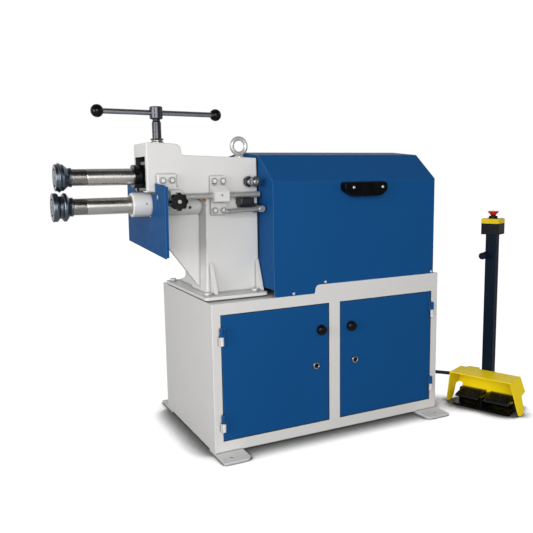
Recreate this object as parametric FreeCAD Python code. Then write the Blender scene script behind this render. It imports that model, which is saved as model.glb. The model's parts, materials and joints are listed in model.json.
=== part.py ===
import FreeCAD, Part
import math
import os

# A motor-driven beading machine on a two-door cabinet, with its pedal station beside it.
# X runs along the cabinet front to the right, Y runs to the back, Z is up.
# The origin is on the floor, at the middle of the four anchor holes.

# Cabinet
cabinet_width = 870.0
cabinet_depth = 482.0
low_top = 481.0
step_rise = 28.0
step_start = -75.0
step_run = 5.0
step_lower_radius = 5.0
step_upper_radius = 15.0
sheet = 3.0
sheet_edge_radius = 2.5
side_rail = 28.0
bottom_rail = 35.0
top_rail = 35.5
centre_post = 41.0
lip_depth = 22.0
top_bar_width = 44.0
top_bar_thickness = 12.0
motor_table_length = 170.0
motor_table_width = 150.0
motor_table_sheet = 8.0

# Feet and anchor holes
foot_thickness = 8.0
foot_width = 92.0
foot_reach = 75.0
foot_under = 50.0
foot_corner = 18.0
anchor_hole_radius = 7.0
anchor_side_inset = 38.0
anchor_reach = 42.0

# Doors, hinges, knobs and locks
door_gap = 2.5
door_depth = 20.0
door_sheet = 2.0
door_edge_radius = 1.8
knuckle_radius = 6.0
knuckle_length = 27.0
knuckle_gap = 0.4
knuckle_standoff = 0.6
hinge_edge_inset = 1.0
hinge_leaf = 9.0
hinge_leaf_thickness = 3.0
hinge_pin_radius = 3.0
hinge_fit = 0.08
upper_hinge_drop = 67.0
lower_hinge_rise = 61.0
left_knob_from_post = 33.0
right_knob_from_post = 42.0
knob_drop = 86.0
knob_radius = 17.0
knob_height = 20.0
knob_stem_radius = 5.0
left_lock_from_post = 52.0
right_lock_from_post = 59.0
lock_rise = 197.0
lock_radius = 12.0
lock_head = 5.0
lock_stem_radius = 8.0
turning_fit = 0.08
cam_overlap = 12.0
cam_width = 18.0
cam_thickness = 3.0
cam_clearance = 2.0

# Rear panel
rear_opening_margin = 45.0
rear_bottom_margin = 60.0
rear_overlap = 18.0
rear_sheet = 2.0
louvre_count = 6
louvre_length = 120.0
louvre_height = 5.0
louvre_pitch = 16.0
screw_radius = 2.5
screw_head_radius = 5.0
screw_head_height = 2.6
screw_grip = 6.0

# Machine frame, a casting that stands on the cabinet
frame_front = -135.0
frame_thickness = 140.0
frame_right = -225.0
frame_left = -586.0
frame_top_left = 929.0
frame_top_right = 920.0
head_right = -476.0
head_top = 966.0
head_top_right = 961.0
head_corner = 17.0
head_root_radius = 9.0
jaw_bottom = 820.0
jaw_end = -495.0
jaw_bend_radius = 70.0
column_left = -402.0
column_flare = 6.0
column_shoulder = 791.0
column_fillet = 24.0
cheek_wall = 17.0
slot_top = 925.0
slot_end = -490.0
channel_roof_left = 914.5
channel_roof_right = 907.0
channel_floor = 822.0
rear_wall = 15.0
casting_wall = 14.0
casting_edge = 4.0
base_left = -438.0
base_front = -204.0
base_back = 200.0
base_thickness = 9.5
base_seat = 5.0
base_seat_inset = 14.0
base_corner = 11.0
rib_thickness = 12.0
rib_height = 98.5
rib_reach = 37.0
rib_toe = 4.0
rear_rib_height = 205.0
rear_rib_shoulder = 80.0
rear_rib_waist = 98.0
rear_rib_bend = 22.0
rear_rib_bend_radius = 20.0
rear_rib_reach = 150.0
rear_rib_toe = 9.0
rib_inset = 6.0
web_thickness = 22.0
web_tip = -528.0
web_tip_height = 670.0
web_bend_radius = 50.0
web_foot_inset = 3.0
frame_bolt_inset = 18.0
frame_bolt_edge = 33.0
frame_bolt_right_inset = 32.0
bolt_radius = 6.0
bolt_hole_clearance = 0.6
bolt_head_across = 19.0
bolt_head_height = 8.0
washer_radius = 12.0
washer_thickness = 2.5

# Shafts, rolls and gears
lower_axis = 780.5
axis_distance = 86.0
shaft_radius = 25.0
seat_radius = 18.0
spacer_radius = 24.4
tail_radius = 20.0
upper_shoulder = -750.0
lower_shoulder = -754.0
spacer_start = -800.0
spacer_groove = 2.5
upper_shaft_end = -180.0
running_fit = 0.05
bush_wall = 4.0
tube_radius = 37.5
tube_joint = -566.0
tube_end = -621.0
tube_spigot = 20.0
tube_bore_radius = 31.0
rear_bush_length = 38.0
lower_collar_radius = 26.5
lower_collar_length = 8.0
upper_face = -841.0
lower_face = -852.0
roll_hub_end = -794.0
roll_hub_radius = 28.0
roll_bead_centre = -829.0
upper_bead_radius = 43.0
upper_rim_radius = 39.0
lower_rim_radius = 42.0
groove_radius = 33.0
roll_seat_clearance = 0.02
recess_radius = 27.0
recess_depth = 5.0
roll_nut_radius = 22.0
roll_nut_thickness = 8.0
roll_nut_bore = 6.0
pin_hole_radius = 2.4
pin_hole_circle = 15.0
pin_hole_count = 4
gear_module = 4.0
gear_teeth = 20
gear_addendum = 5.5
gear_dedendum = 5.5
gear_face = 28.0
gear_left = -212.0
tooth_share = 0.40
tooth_tip_share = 0.17

# Rocking arm that carries the upper shaft
pivot_x = -258.0
pivot_z = 845.0
arm_tube_radius = 38.0
arm_bore_radius = 27.0
arm_end_gap = 4.0
block_left = -582.0
block_right = -500.0
block_top = 902.0
block_bottom = 823.0
front_bush_length = 50.0
slide_gap = 0.6
arm_boss_radius = 14.5
arm_boss_gap = 2.5
trunnion_radius = 10.0
trunnion_tip_radius = 8.0
trunnion_tip_length = 11.0
trunnion_fit = 0.05
thread_fit = 0.02
trunnion_reach = 68.0
trunnion_chamfer = 2.0
nut_across = 30.0
nut_height = 16.0
second_nut_offset = 46.0
ring_nut_radius = 35.5
ring_nut_width = 30.0
ring_nut_slot_length = 16.0
ring_nut_slots = 6
ring_nut_slot_depth = 3.5
ring_nut_slot_width = 8.0
ring_nut_shaft_gap = 0.4
keeper_thickness = 9.0
keeper_inset = 4.0
keeper_width = 80.0
keeper_hole_radius = 15.0
keeper_screw_inset = 12.0
keeper_screw_radius = 5.0
keeper_screw_height = 3.0
pad_pocket_radius = 22.0
pad_pocket_depth = 5.4

# Feed screw and its handle
screw_x = -530.0
screw_radius_feed = 14.0
screw_tip_radius = 8.0
pad_radius = 19.0
pad_flange = 4.0
pad_dome = 0.7
pad_gap = 0.3
pad_neck_radius = 12.0
pad_top = 925.0
tip_depth = 14.0
pad_pit_clearance = 8.0
pad_pit_depth = 16.0
bush_radius = 20.0
bush_bore_gap = 0.08
collar_radius = 20.5
collar_waist_radius = 16.5
collar_height = 15.0
hub_rise = 74.0
hub_height = 37.0
hub_radius = 20.0
hub_edge = 2.0
hub_neck_radius = 11.0
hub_neck_length = 10.0
bar_radius = 8.0
bar_length = 385.0
bar_offset = 10.0
bar_angle = 5.0
ball_radius = 19.0
ball_socket_depth = 12.0

# Lifting eye
eye_x = -256.0
eye_outer_radius = 31.5
eye_section_radius = 7.0
eye_flange_radius = 17.5
eye_flange_height = 6.0
eye_neck_height = 11.0
eye_thread_radius = 8.0
eye_thread_length = 13.0

# Stop plate, its rod and brackets
plate_right = -560.0
plate_sheet = 3.0
plate_tilt = 2.9
plate_front = -229.0
plate_back = 199.0
plate_bottom = 633.0
plate_top = 848.5
plate_corner = 4.0
plate_flange = 6.5
plate_hole_clearance = 2.0
plate_notch_clearance = 1.5
plate_notch_bottom = 814.5
rod_radius = 9.0
rod_y = -156.0
rod_z = 805.0
rod_right = -228.0
rod_chamfer = 1.5
rod_fit = 0.05
rod_neck_radius = 7.0
pad_plate = 12.0
clamp_pad_left = -558.0
clamp_pad_right = -498.0
clamp_pad_top = 872.0
clamp_boss_left = -526.0
clamp_boss_right = -491.0
clamp_boss_radius = 20.0
clamp_slit = 2.5
guide_left = -389.0
guide_right = -339.0
guide_top = 864.0
guide_bottom = 745.0
guide_block_top = 834.0
guide_block_bottom = 785.0
guide_block_front = -176.0
guide_slope = 18.0
bracket_bolt_radius = 5.0
bracket_bolt_across = 17.0
bracket_bolt_height = 6.4
bracket_bolt_pitch = 28.5
clamp_bolt_line = 853.5
guide_bolt_line = 849.0
lower_bolt_line = 758.0
bracket_bolt_depth = 16.0
set_screw_radius = 4.0
set_screw_sink = 0.5
set_screw_gap = 0.3
set_screw_socket = 2.0
star_x = -510.5
star_drop = 14.0
star_ear = 14.0
star_radius = 27.0
star_lobes = 8
star_thickness = 22.0
star_scallop_radius = 8.0
star_scallop_circle = 31.0
star_edge = 2.5
star_stud_radius = 4.0
star_hub_radius = 13.0
star_hub_length = 8.0
star_bore_gap = 0.08

# Rod clamp lever
lever_x = -237.0
lever_z = 760.0
lever_radius = 10.5
lever_front = -197.0
lever_boss_radius = 13.0
lever_boss_front = -163.0
lever_bar_y = -186.0
lever_bar_radius = 7.5
lever_bar_length = 120.0
lever_bar_tip = 5.0
lever_bar_drop = 2.0
lever_arm_top = 776.0
lever_arm_bottom = 765.0
shoe_left = -301.0
shoe_right = -256.0
shoe_gap = 0.4
shoe_front = -178.0

# Drive cover
cover_left = -222.0
cover_right = 412.0
cover_sheet = 2.0
cover_crease = 844.0
cover_chamfer_depth = 103.0
cover_shoulder = 928.5
cover_ridge = 942.0
cover_window_margin = 16.0
cover_side_bottom = 505.5
cover_corner = 12.0
cover_screw_rise = 7.0
cover_screw_inset = 8.0
cover_screw_from_left = 70.0
cover_screw_from_step = 36.0
pull_left = 25.0
pull_right = 191.0
pull_top = 838.0
pull_height = 46.0
pull_depth = 28.0
pull_corner = 15.0
pull_wall = 3.5
pull_edge = 3.0

# Gear motor inside the cover
reducer_left = -42.0
reducer_length = 160.0
reducer_half_width = 72.0
reducer_half_height = 92.0
reducer_edge = 12.0
reducer_flange_radius = 60.0
reducer_flange_length = 14.0
lower_shaft_end = 70.0
reducer_bore_gap = 0.08
motor_radius = 68.0
motor_length = 185.0
motor_rib_count = 16
motor_rib_height = 6.0
motor_rib_width = 3.0
motor_rib_inset = 14.0
cowl_length = 48.0
cowl_edge = 10.0
terminal_box_length = 90.0
terminal_box_width = 80.0
terminal_box_height = 46.0

# Control box in the right-hand compartment
control_box_width = 240.0
control_box_height = 300.0
control_box_depth = 120.0
control_box_edge = 6.0
control_box_centre_x = 215.0
control_box_bottom = 90.0
control_lid_depth = 12.0
control_standoff = 10.0
control_rail_inset = 22.0
control_rail_width = 24.0
control_rail_sheet = 3.0

# Pedal station
station_x = 583.0
station_y = -323.0
station_turn = -67.0
pedal_base_half = 106.0
pedal_base_front = -18.0
pedal_base_back = 128.0
pedal_base_floor = 8.0
pedal_base_rear_height = 34.0
pedal_base_corner = 10.0
guard_top = 128.0
guard_sheet = 3.0
guard_top_half = 113.0
guard_foot_half = 138.0
guard_front = -30.0
guard_back = 67.0
guard_leg_front = -2.0
guard_leg_back = 50.0
guard_leg_radius = 18.0
guard_wing_bottom = 62.0
guard_wing_back = 89.0
guard_rear_half = 104.0
guard_rear_bottom = 20.0
guard_tab_middle = -66.0
guard_tab_half = 24.0
guard_tab_length = 18.0
treadle_half_gap = 9.0
treadle_outer = 98.0
treadle_front = -12.0
treadle_pivot_y = 54.0
treadle_pivot_z = 42.0
treadle_thickness = 8.0
treadle_front_height = 40.0
treadle_back_height = 58.0
treadle_barrel_radius = 8.0
treadle_pin_radius = 4.0
treadle_pin_fit = 0.08
treadle_lug_gap = 0.5
divider_half = 4.0
divider_height = 46.0
post_size = 38.0
post_wall = 2.5
post_edge = 4.0
post_x = -16.0
post_y = 92.0
post_top = 638.0
post_foot_half_x = 40.0
post_foot_half_y = 32.0
post_foot_thickness = 5.0
post_gland_height = 562.0
post_gland_radius = 12.5
post_gland_length = 48.0
post_gland_shift = -11.0
post_gland_recess = 4.0
post_gland_ring = 3.5
estop_size = 64.0
estop_box_height = 40.0
estop_lid_height = 17.0
estop_edge = 4.0
estop_bezel_radius = 15.0
estop_bezel_height = 9.0
estop_stem_radius = 9.0
estop_stem_gap = 0.08
estop_travel_gap = 5.0
estop_mushroom_radius = 20.0
estop_mushroom_height = 13.0
estop_stem_depth = 12.0
entry_height = 19.0
entry_radius = 11.0
entry_length = 22.0
entry_shift = -45.0

# Cable between the cabinet and the pedal station
cable_radius = 6.0
gland_x = 318.0
gland_z = 62.0
gland_radius = 13.0
gland_collar = 7.0
gland_dome = 18.0
gland_nut = 6.0

raised_top = low_top + step_rise
half_width = cabinet_width / 2
half_depth = cabinet_depth / 2
front = -half_depth
back = half_depth
opening_bottom = foot_thickness + bottom_rail
opening_top = low_top - top_rail
opening_outer = half_width - side_rail
opening_inner = centre_post / 2
frame_back = frame_front + frame_thickness
axis_y = frame_front + frame_thickness / 2
upper_axis = lower_axis + axis_distance
slot_front = frame_front + cheek_wall
slot_back = frame_back - cheek_wall
base_bottom = low_top + base_seat
base_top = base_bottom + base_thickness
hub_bottom = head_top + hub_rise
star_z = rod_z - star_drop
arm_end = frame_right - rear_wall - arm_end_gap


def block(x0, x1, y0, y1, z0, z1):
    """A box between two corners."""
    return Part.makeBox(x1 - x0, y1 - y0, z1 - z0, FreeCAD.Vector(x0, y0, z0))


def x_rod(x0, x1, y, z, radius):
    """A cylinder along X."""
    return Part.makeCylinder(radius, x1 - x0, FreeCAD.Vector(x0, y, z), FreeCAD.Vector(1, 0, 0))


def y_rod(y0, y1, x, z, radius):
    """A cylinder along Y."""
    return Part.makeCylinder(radius, y1 - y0, FreeCAD.Vector(x, y0, z), FreeCAD.Vector(0, 1, 0))


def z_rod(z0, z1, x, y, radius):
    """A cylinder along Z."""
    return Part.makeCylinder(radius, z1 - z0, FreeCAD.Vector(x, y, z0), FreeCAD.Vector(0, 0, 1))


def outline(corners, place):
    """A closed wire through (u, v, radius) corners, each rounded by its radius."""
    count = len(corners)
    edges = []
    first_point = None
    last_point = None
    for index, (u, v, radius) in enumerate(corners):
        here = FreeCAD.Vector(u, v, 0)
        before = FreeCAD.Vector(corners[index - 1][0], corners[index - 1][1], 0)
        after = FreeCAD.Vector(corners[(index + 1) % count][0], corners[(index + 1) % count][1], 0)
        if radius > 0:
            to_before = (before - here).normalize()
            to_after = (after - here).normalize()
            half_angle = to_before.getAngle(to_after) / 2
            reach = radius / math.tan(half_angle)
            bisector = (to_before + to_after).normalize()
            centre = here + bisector * (radius / math.sin(half_angle))
            start = here + to_before * reach
            end = here + to_after * reach
            middle = centre - bisector * radius
        else:
            start = here
            end = here
            middle = None
        if last_point is not None and last_point.distanceToPoint(start) > 1e-6:
            edges.append(Part.LineSegment(place(last_point), place(start)).toShape())
        if middle is not None:
            edges.append(Part.Arc(place(start), place(middle), place(end)).toShape())
        if first_point is None:
            first_point = start
        last_point = end
    if last_point.distanceToPoint(first_point) > 1e-6:
        edges.append(Part.LineSegment(place(last_point), place(first_point)).toShape())
    return Part.Wire(edges)


def xz_plate(corners, y0, y1):
    """A plate with an outline in X and Z, between two values of Y."""
    wire = outline(corners, lambda p: FreeCAD.Vector(p.x, y0, p.y))
    return Part.Face(wire).extrude(FreeCAD.Vector(0, y1 - y0, 0))


def yz_plate(corners, x0, x1):
    """A plate with an outline in Y and Z, between two values of X."""
    wire = outline(corners, lambda p: FreeCAD.Vector(x0, p.x, p.y))
    return Part.Face(wire).extrude(FreeCAD.Vector(x1 - x0, 0, 0))


def xy_plate(corners, z0, z1):
    """A plate with an outline in X and Y, between two values of Z."""
    wire = outline(corners, lambda p: FreeCAD.Vector(p.x, p.y, z0))
    return Part.Face(wire).extrude(FreeCAD.Vector(0, 0, z1 - z0))


def x_turned(profile, y, z):
    """A solid of revolution about a line along X, from (x, radius) points."""
    points = [FreeCAD.Vector(x, y, z + radius) for x, radius in profile]
    points.append(FreeCAD.Vector(profile[-1][0], y, z))
    points.insert(0, FreeCAD.Vector(profile[0][0], y, z))
    points.append(points[0])
    face = Part.Face(Part.makePolygon(points))
    return face.revolve(FreeCAD.Vector(0, y, z), FreeCAD.Vector(1, 0, 0), 360)


def z_turned(profile, x, y):
    """A solid of revolution about a vertical line, from (z, radius) points."""
    points = [FreeCAD.Vector(x + radius, y, z) for z, radius in profile]
    points.append(FreeCAD.Vector(x, y, profile[-1][0]))
    points.insert(0, FreeCAD.Vector(x, y, profile[0][0]))
    points.append(points[0])
    face = Part.Face(Part.makePolygon(points))
    return face.revolve(FreeCAD.Vector(x, y, 0), FreeCAD.Vector(0, 0, 1), 360)


def hexagon(across, height, centre, direction):
    """A hexagonal prism from a point, along a direction."""
    corner_radius = across / math.sqrt(3)
    points = []
    for index in range(7):
        angle = math.radians(60 * index + 30)
        points.append(FreeCAD.Vector(corner_radius * math.cos(angle), corner_radius * math.sin(angle), 0))
    prism = Part.Face(Part.makePolygon(points)).extrude(FreeCAD.Vector(0, 0, height))
    edge = Part.makeCone(corner_radius + height * 1.6, corner_radius * 0.92, height)
    prism = prism.common(edge)
    turn = FreeCAD.Rotation(FreeCAD.Vector(0, 0, 1), direction)
    prism.Placement = FreeCAD.Placement(centre, turn)
    return prism


def rounded_edges(shape, radius, chosen):
    """The shape with a fillet on every edge that the test picks."""
    edges = [edge for edge in shape.Edges if chosen(edge)]
    return shape.makeFillet(radius, edges)


def upright(edge):
    """Whether a straight edge runs along Z."""
    return abs(edge.tangentAt(edge.FirstParameter).z) > 0.999 and len(edge.Vertexes) == 2


def join(*shapes):
    """One solid from shapes that meet."""
    result = shapes[0].fuse(list(shapes[1:])) if len(shapes) > 1 else shapes[0]
    return result.removeSplitter()


def write(name, *solids):
    """Write one sub-part, which may be a group of separate solids."""
    shape = solids[0] if len(solids) == 1 else Part.makeCompound(list(solids))
    if not shape.isValid():
        print("not valid:", name)
    shape.exportStep(os.path.join("parts", name + ".step"))
    print(name, len(shape.Solids), round(shape.Volume / 1000, 1))


def top_line(rise):
    """The stepped line of the cabinet's top, offset upward by a rise, from left to right."""
    shift = rise * math.tan(math.atan2(step_rise, step_run) / 2)
    return [
        (-half_width, low_top + rise, 0),
        (step_start - shift, low_top + rise, step_lower_radius - rise),
        (step_start + step_run - shift, raised_top + rise, step_upper_radius + rise),
        (half_width, raised_top + rise, 0),
    ]


def make_cabinet():
    """The welded cabinet: front frame, sides, floor with its partition, and top."""
    outline_front = top_line(0) + [(half_width, foot_thickness, 0), (-half_width, foot_thickness, 0)]
    frame = xz_plate(outline_front, front, front + sheet)
    for side in (-1, 1):
        inner = side * opening_inner
        outer = side * opening_outer
        left = min(inner, outer)
        right = max(inner, outer)
        lip = block(left - sheet, right + sheet, front + sheet, front + lip_depth,
                    opening_bottom - sheet, opening_top + sheet)
        frame = frame.fuse(lip)
        opening = block(left, right, front - sheet, front + lip_depth + sheet, opening_bottom, opening_top)
        frame = frame.cut(opening)
    frame = frame.removeSplitter()
    frame = rounded_edges(frame, sheet_edge_radius, lambda edge: upright(edge)
                          and abs(abs(edge.CenterOfMass.x) - half_width) < 0.01
                          and abs(edge.CenterOfMass.y - front) < 0.01)
    for side in (-1, 1):
        for centre in hinge_heights():
            frame = frame.fuse(frame_knuckle(side, centre))
    write("front_frame", frame)

    walls = [make_rear_wall()]
    for side in (-1, 1):
        outer = side * half_width
        inner = side * (half_width - sheet)
        height = low_top if side < 0 else raised_top
        walls.append(block(min(outer, inner), max(outer, inner), front + sheet, back,
                           foot_thickness, height - sheet))
    write("cabinet_walls", join(*walls))

    floor = block(-half_width + sheet, half_width - sheet, front + sheet, back - sheet,
                  foot_thickness, foot_thickness + sheet)
    partition = block(-sheet / 2, sheet / 2, front + lip_depth + cam_clearance + 6, back - sheet,
                      foot_thickness + sheet, low_top - sheet - top_bar_thickness)
    write("cabinet_floor", join(floor, partition))

    upper = top_line(0)
    lower = list(reversed(top_line(-sheet)))
    top = xz_plate(upper + lower, front + sheet, back)
    bars = []
    for bolt_x in frame_bolt_columns():
        bar_left = max(bolt_x - top_bar_width / 2, -half_width + sheet)
        bars.append(block(bar_left, bolt_x + top_bar_width / 2, front + sheet, back - sheet,
                          low_top - sheet - top_bar_thickness, low_top - sheet))
    table_top = lower_axis - reducer_half_height
    table_middle = reducer_left + reducer_length / 2
    table = block(table_middle - motor_table_length / 2, table_middle + motor_table_length / 2,
                  axis_y - motor_table_width / 2, axis_y + motor_table_width / 2, raised_top, table_top)
    hollow = block(table_middle - motor_table_length, table_middle + motor_table_length,
                   axis_y - motor_table_width / 2 + motor_table_sheet,
                   axis_y + motor_table_width / 2 - motor_table_sheet,
                   raised_top, table_top - motor_table_sheet)
    top = join(top, *bars, table.cut(hollow))
    for bolt_x, bolt_y in frame_bolt_places():
        top = top.cut(z_rod(low_top - 40, low_top + 1, bolt_x, bolt_y, bolt_radius + bolt_hole_clearance))
    write("cabinet_top", top)


def rear_window():
    """The half width, bottom and top of the rear wall's service opening."""
    return (half_width - rear_opening_margin, foot_thickness + rear_bottom_margin,
            low_top - sheet - rear_opening_margin)


def make_rear_wall():
    """The rear wall, open behind the service panel."""
    window = rear_window()
    wall = block(-half_width + sheet, half_width - sheet, back - sheet, back,
                 foot_thickness + sheet, low_top - sheet - top_bar_thickness)
    opening = block(-window[0] + 2 * rear_overlap, window[0] - 2 * rear_overlap, back - 2 * sheet,
                    back + sheet,
                    window[1] + 2 * rear_overlap, window[2] - 2 * rear_overlap)
    wall = wall.cut(opening)
    wall = wall.cut(y_rod(back - 2 * sheet, back + sheet, gland_x, gland_z, gland_radius * 0.7))
    for x, z in rear_screw_places():
        wall = wall.cut(y_rod(back - 2 * sheet, back + sheet, x, z, screw_radius + turning_fit))
    return wall


def make_rear_panel():
    """The screwed service panel with its air slots."""
    window = rear_window()
    panel = block(-window[0] + rear_overlap, window[0] - rear_overlap, back, back + rear_sheet,
                  window[1] + rear_overlap, window[2] - rear_overlap)
    for side in (-1, 1):
        for index in range(louvre_count):
            height = window[2] - 3 * rear_overlap - index * louvre_pitch
            slot = block(side * window[0] / 2 - louvre_length / 2, side * window[0] / 2 + louvre_length / 2,
                         back - sheet, back + 2 * rear_sheet, height - louvre_height, height)
            panel = panel.cut(slot)
    for x, z in rear_screw_places():
        panel = panel.cut(y_rod(back - sheet, back + 2 * rear_sheet, x, z, screw_radius + turning_fit))
    write("rear_panel", panel)


def rear_screw_places():
    """The places of the rear panel's screws in X and Z."""
    x = half_width - rear_opening_margin - 1.5 * rear_overlap
    low = foot_thickness + rear_bottom_margin + 1.5 * rear_overlap
    high = low_top - sheet - rear_opening_margin - 1.5 * rear_overlap
    places = []
    for column in (-x, -rear_overlap, x):
        for row in (low, high):
            places.append((column, row))
    return places


def make_feet():
    """Four foot plates that reach out in front and behind, each with an anchor hole."""
    feet = []
    for side in (-1, 1):
        for end in (-1, 1):
            outer = side * half_width
            inner = side * (half_width - foot_width)
            tip = end * (half_depth + foot_reach)
            root = end * (half_depth - foot_under)
            corners = [(outer, root, 0), (outer, tip, 2), (inner, tip, foot_corner), (inner, root, 0)]
            foot = xy_plate(corners, 0, foot_thickness)
            hole = z_rod(-1, foot_thickness + 1, side * (half_width - anchor_side_inset),
                         end * (half_depth + anchor_reach), anchor_hole_radius)
            feet.append(foot.cut(hole))
    write("foot_plates", *feet)


def hinge_heights():
    """The heights at which a door knuckle sits on a frame knuckle."""
    return (opening_top - upper_hinge_drop, opening_bottom + lower_hinge_rise)


def hinge_axis(side):
    """The X and Y of a door's hinge line."""
    return (side * (opening_outer - hinge_edge_inset), front - knuckle_radius - knuckle_standoff)


def frame_knuckle(side, height):
    """A hinge knuckle with its leaf on the front frame, under the door's knuckle."""
    x, y = hinge_axis(side)
    low = height - knuckle_length
    barrel = z_rod(low, height - knuckle_gap / 2, x, y, knuckle_radius)
    edge = side * (opening_outer + 0.5)
    tip = side * (opening_outer + hinge_leaf)
    leaf = block(min(edge, tip), max(edge, tip), y, front, low, height - knuckle_gap / 2)
    bridge = block(min(x, edge), max(x, edge), y, y + hinge_leaf_thickness, low, height - knuckle_gap / 2)
    bore = z_rod(low - 1, height + 1, x, y, hinge_pin_radius)
    return barrel.fuse([leaf, bridge]).cut(bore)


def door_knuckle(side, height):
    """The door's hinge knuckle with its leaf, above the frame's knuckle."""
    x, y = hinge_axis(side)
    high = height + knuckle_length
    low = height + knuckle_gap / 2
    barrel = z_rod(low, high, x, y, knuckle_radius)
    edge = side * (opening_outer - door_gap - 1)
    tip = side * (opening_outer - door_gap - hinge_leaf)
    leaf = block(min(edge, tip), max(edge, tip), y, front, low, high)
    bridge = block(min(x, edge), max(x, edge), y, y + hinge_leaf_thickness, low, high)
    bore = z_rod(low - 1, high - 3, x, y, hinge_pin_radius + hinge_fit)
    return barrel.fuse([leaf, bridge]).cut(bore)


def make_doors():
    """Two pan-shaped doors with their knuckles, and the hinge pins."""
    pins = []
    for side, name in ((-1, "door_left"), (1, "door_right")):
        inner = side * (opening_inner + door_gap)
        outer = side * (opening_outer - door_gap)
        left = min(inner, outer)
        right = max(inner, outer)
        low = opening_bottom + door_gap
        high = opening_top - door_gap
        pan = block(left, right, front, front + door_depth, low, high)
        pan = rounded_edges(pan, door_edge_radius, lambda edge: abs(edge.CenterOfMass.y - front) < 0.01)
        hollow = block(left + door_sheet, right - door_sheet, front + door_sheet, front + door_depth + 1,
                       low + door_sheet, high - door_sheet)
        pan = pan.cut(hollow)
        knob_x, knob_z = knob_place(side)
        lock_x, lock_z = lock_place(side)
        pan = pan.cut(y_rod(front - 1, front + door_depth, knob_x, knob_z, knob_stem_radius + turning_fit))
        pan = pan.cut(y_rod(front - 1, front + door_depth, lock_x, lock_z, lock_stem_radius + turning_fit))
        for height in hinge_heights():
            pan = pan.fuse(door_knuckle(side, height))
            x, y = hinge_axis(side)
            pins.append(z_rod(height - knuckle_length, height + knuckle_length - 4, x, y, hinge_pin_radius))
        write(name, pan.removeSplitter())
    write("hinge_pins", *pins)


def knob_place(side):
    """The X and Z of a door's latch knob."""
    from_post = left_knob_from_post if side < 0 else right_knob_from_post
    return (side * (opening_inner + from_post), opening_top - knob_drop)


def lock_place(side):
    """The X and Z of a door's key lock."""
    from_post = left_lock_from_post if side < 0 else right_lock_from_post
    return (side * (opening_inner + from_post), opening_bottom + lock_rise)


def door_cam(x, z):
    """A cam behind a door, standing up at rest and long enough to reach behind the post's lip."""
    cam_front = front + lip_depth + cam_clearance
    length = abs(x) - opening_inner + cam_overlap
    return xz_plate([
        (x - cam_width / 2, z - cam_width / 2, 3),
        (x + cam_width / 2, z - cam_width / 2, 3),
        (x + cam_width / 2, z + length, 3),
        (x - cam_width / 2, z + length, 3),
    ], cam_front, cam_front + cam_thickness)


def make_latches():
    """The black latch knobs and the key locks, each with its cam behind the door."""
    cam_front = front + lip_depth + cam_clearance
    for side, name in ((-1, "latch_left"), (1, "latch_right")):
        x, z = knob_place(side)
        profile = [
            (0, knob_radius * 0.62),
            (3, knob_radius * 0.60),
            (5, knob_radius * 0.97),
            (knob_height * 0.55, knob_radius),
            (knob_height * 0.9, knob_radius * 0.86),
            (knob_height, knob_radius * 0.55),
        ]
        knob = z_turned(profile, 0, 0)
        grip = block(-knob_radius, knob_radius, -1.2, 1.2, knob_height - 2, knob_height + 1)
        knob = knob.cut(grip)
        knob.Placement = FreeCAD.Placement(FreeCAD.Vector(x, front - 0.2, z),
                                           FreeCAD.Rotation(FreeCAD.Vector(1, 0, 0), 90))
        stem = y_rod(front - 0.5, cam_front + cam_thickness, x, z, knob_stem_radius)
        write(name, join(knob, stem, door_cam(x, z)))
    for side, name in ((-1, "lock_left"), (1, "lock_right")):
        x, z = lock_place(side)
        profile = [(0, lock_radius), (lock_head * 0.6, lock_radius), (lock_head, lock_radius * 0.82)]
        head = z_turned(profile, 0, 0)
        key_slot = block(-0.8, 0.8, -4, 4, lock_head - 2.5, lock_head + 1)
        ring = Part.makeTorus(lock_radius * 0.55, 0.7, FreeCAD.Vector(0, 0, lock_head))
        head = head.cut(key_slot).cut(ring)
        head.Placement = FreeCAD.Placement(FreeCAD.Vector(x, front - 0.2, z),
                                           FreeCAD.Rotation(FreeCAD.Vector(1, 0, 0), 90))
        stem = y_rod(front - 0.5, cam_front + cam_thickness, x, z, lock_stem_radius)
        write(name, join(head, stem, door_cam(x, z)))


def frame_bolt_columns():
    """The two values of X at which the frame is bolted down."""
    return (base_left + frame_bolt_inset, frame_right - frame_bolt_right_inset)


def frame_bolt_places():
    """The frame's four bolt places in X and Y."""
    places = []
    for x in frame_bolt_columns():
        for y in (base_front + frame_bolt_edge, base_back - frame_bolt_edge):
            places.append((x, y))
    return places


def front_rib(x0):
    """A three-cornered rib between the column's front and the base plate."""
    corners = [
        (frame_front + 1, base_top, 0),
        (frame_front - rib_reach, base_top, 0),
        (frame_front - rib_reach, base_top + rib_toe, 0),
        (frame_front, base_top + rib_height, 0),
        (frame_front + 1, base_top + rib_height, 0),
    ]
    return yz_plate(corners, x0, x0 + rib_thickness)


def rear_rib(x0):
    """A tall rib behind the column, upright at its waist and hollowed above its toe."""
    corners = [
        (frame_back - 1, base_top, 0),
        (frame_back + rear_rib_reach, base_top, 0),
        (frame_back + rear_rib_reach, base_top + rear_rib_toe, 0),
        (frame_back + rear_rib_waist, base_top + rear_rib_bend, rear_rib_bend_radius),
        (frame_back + rear_rib_waist, base_top + rear_rib_shoulder, rear_rib_bend_radius),
        (frame_back, base_top + rear_rib_height, 0),
        (frame_back - 1, base_top + rear_rib_height, 0),
    ]
    return yz_plate(corners, x0, x0 + rib_thickness)


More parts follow.
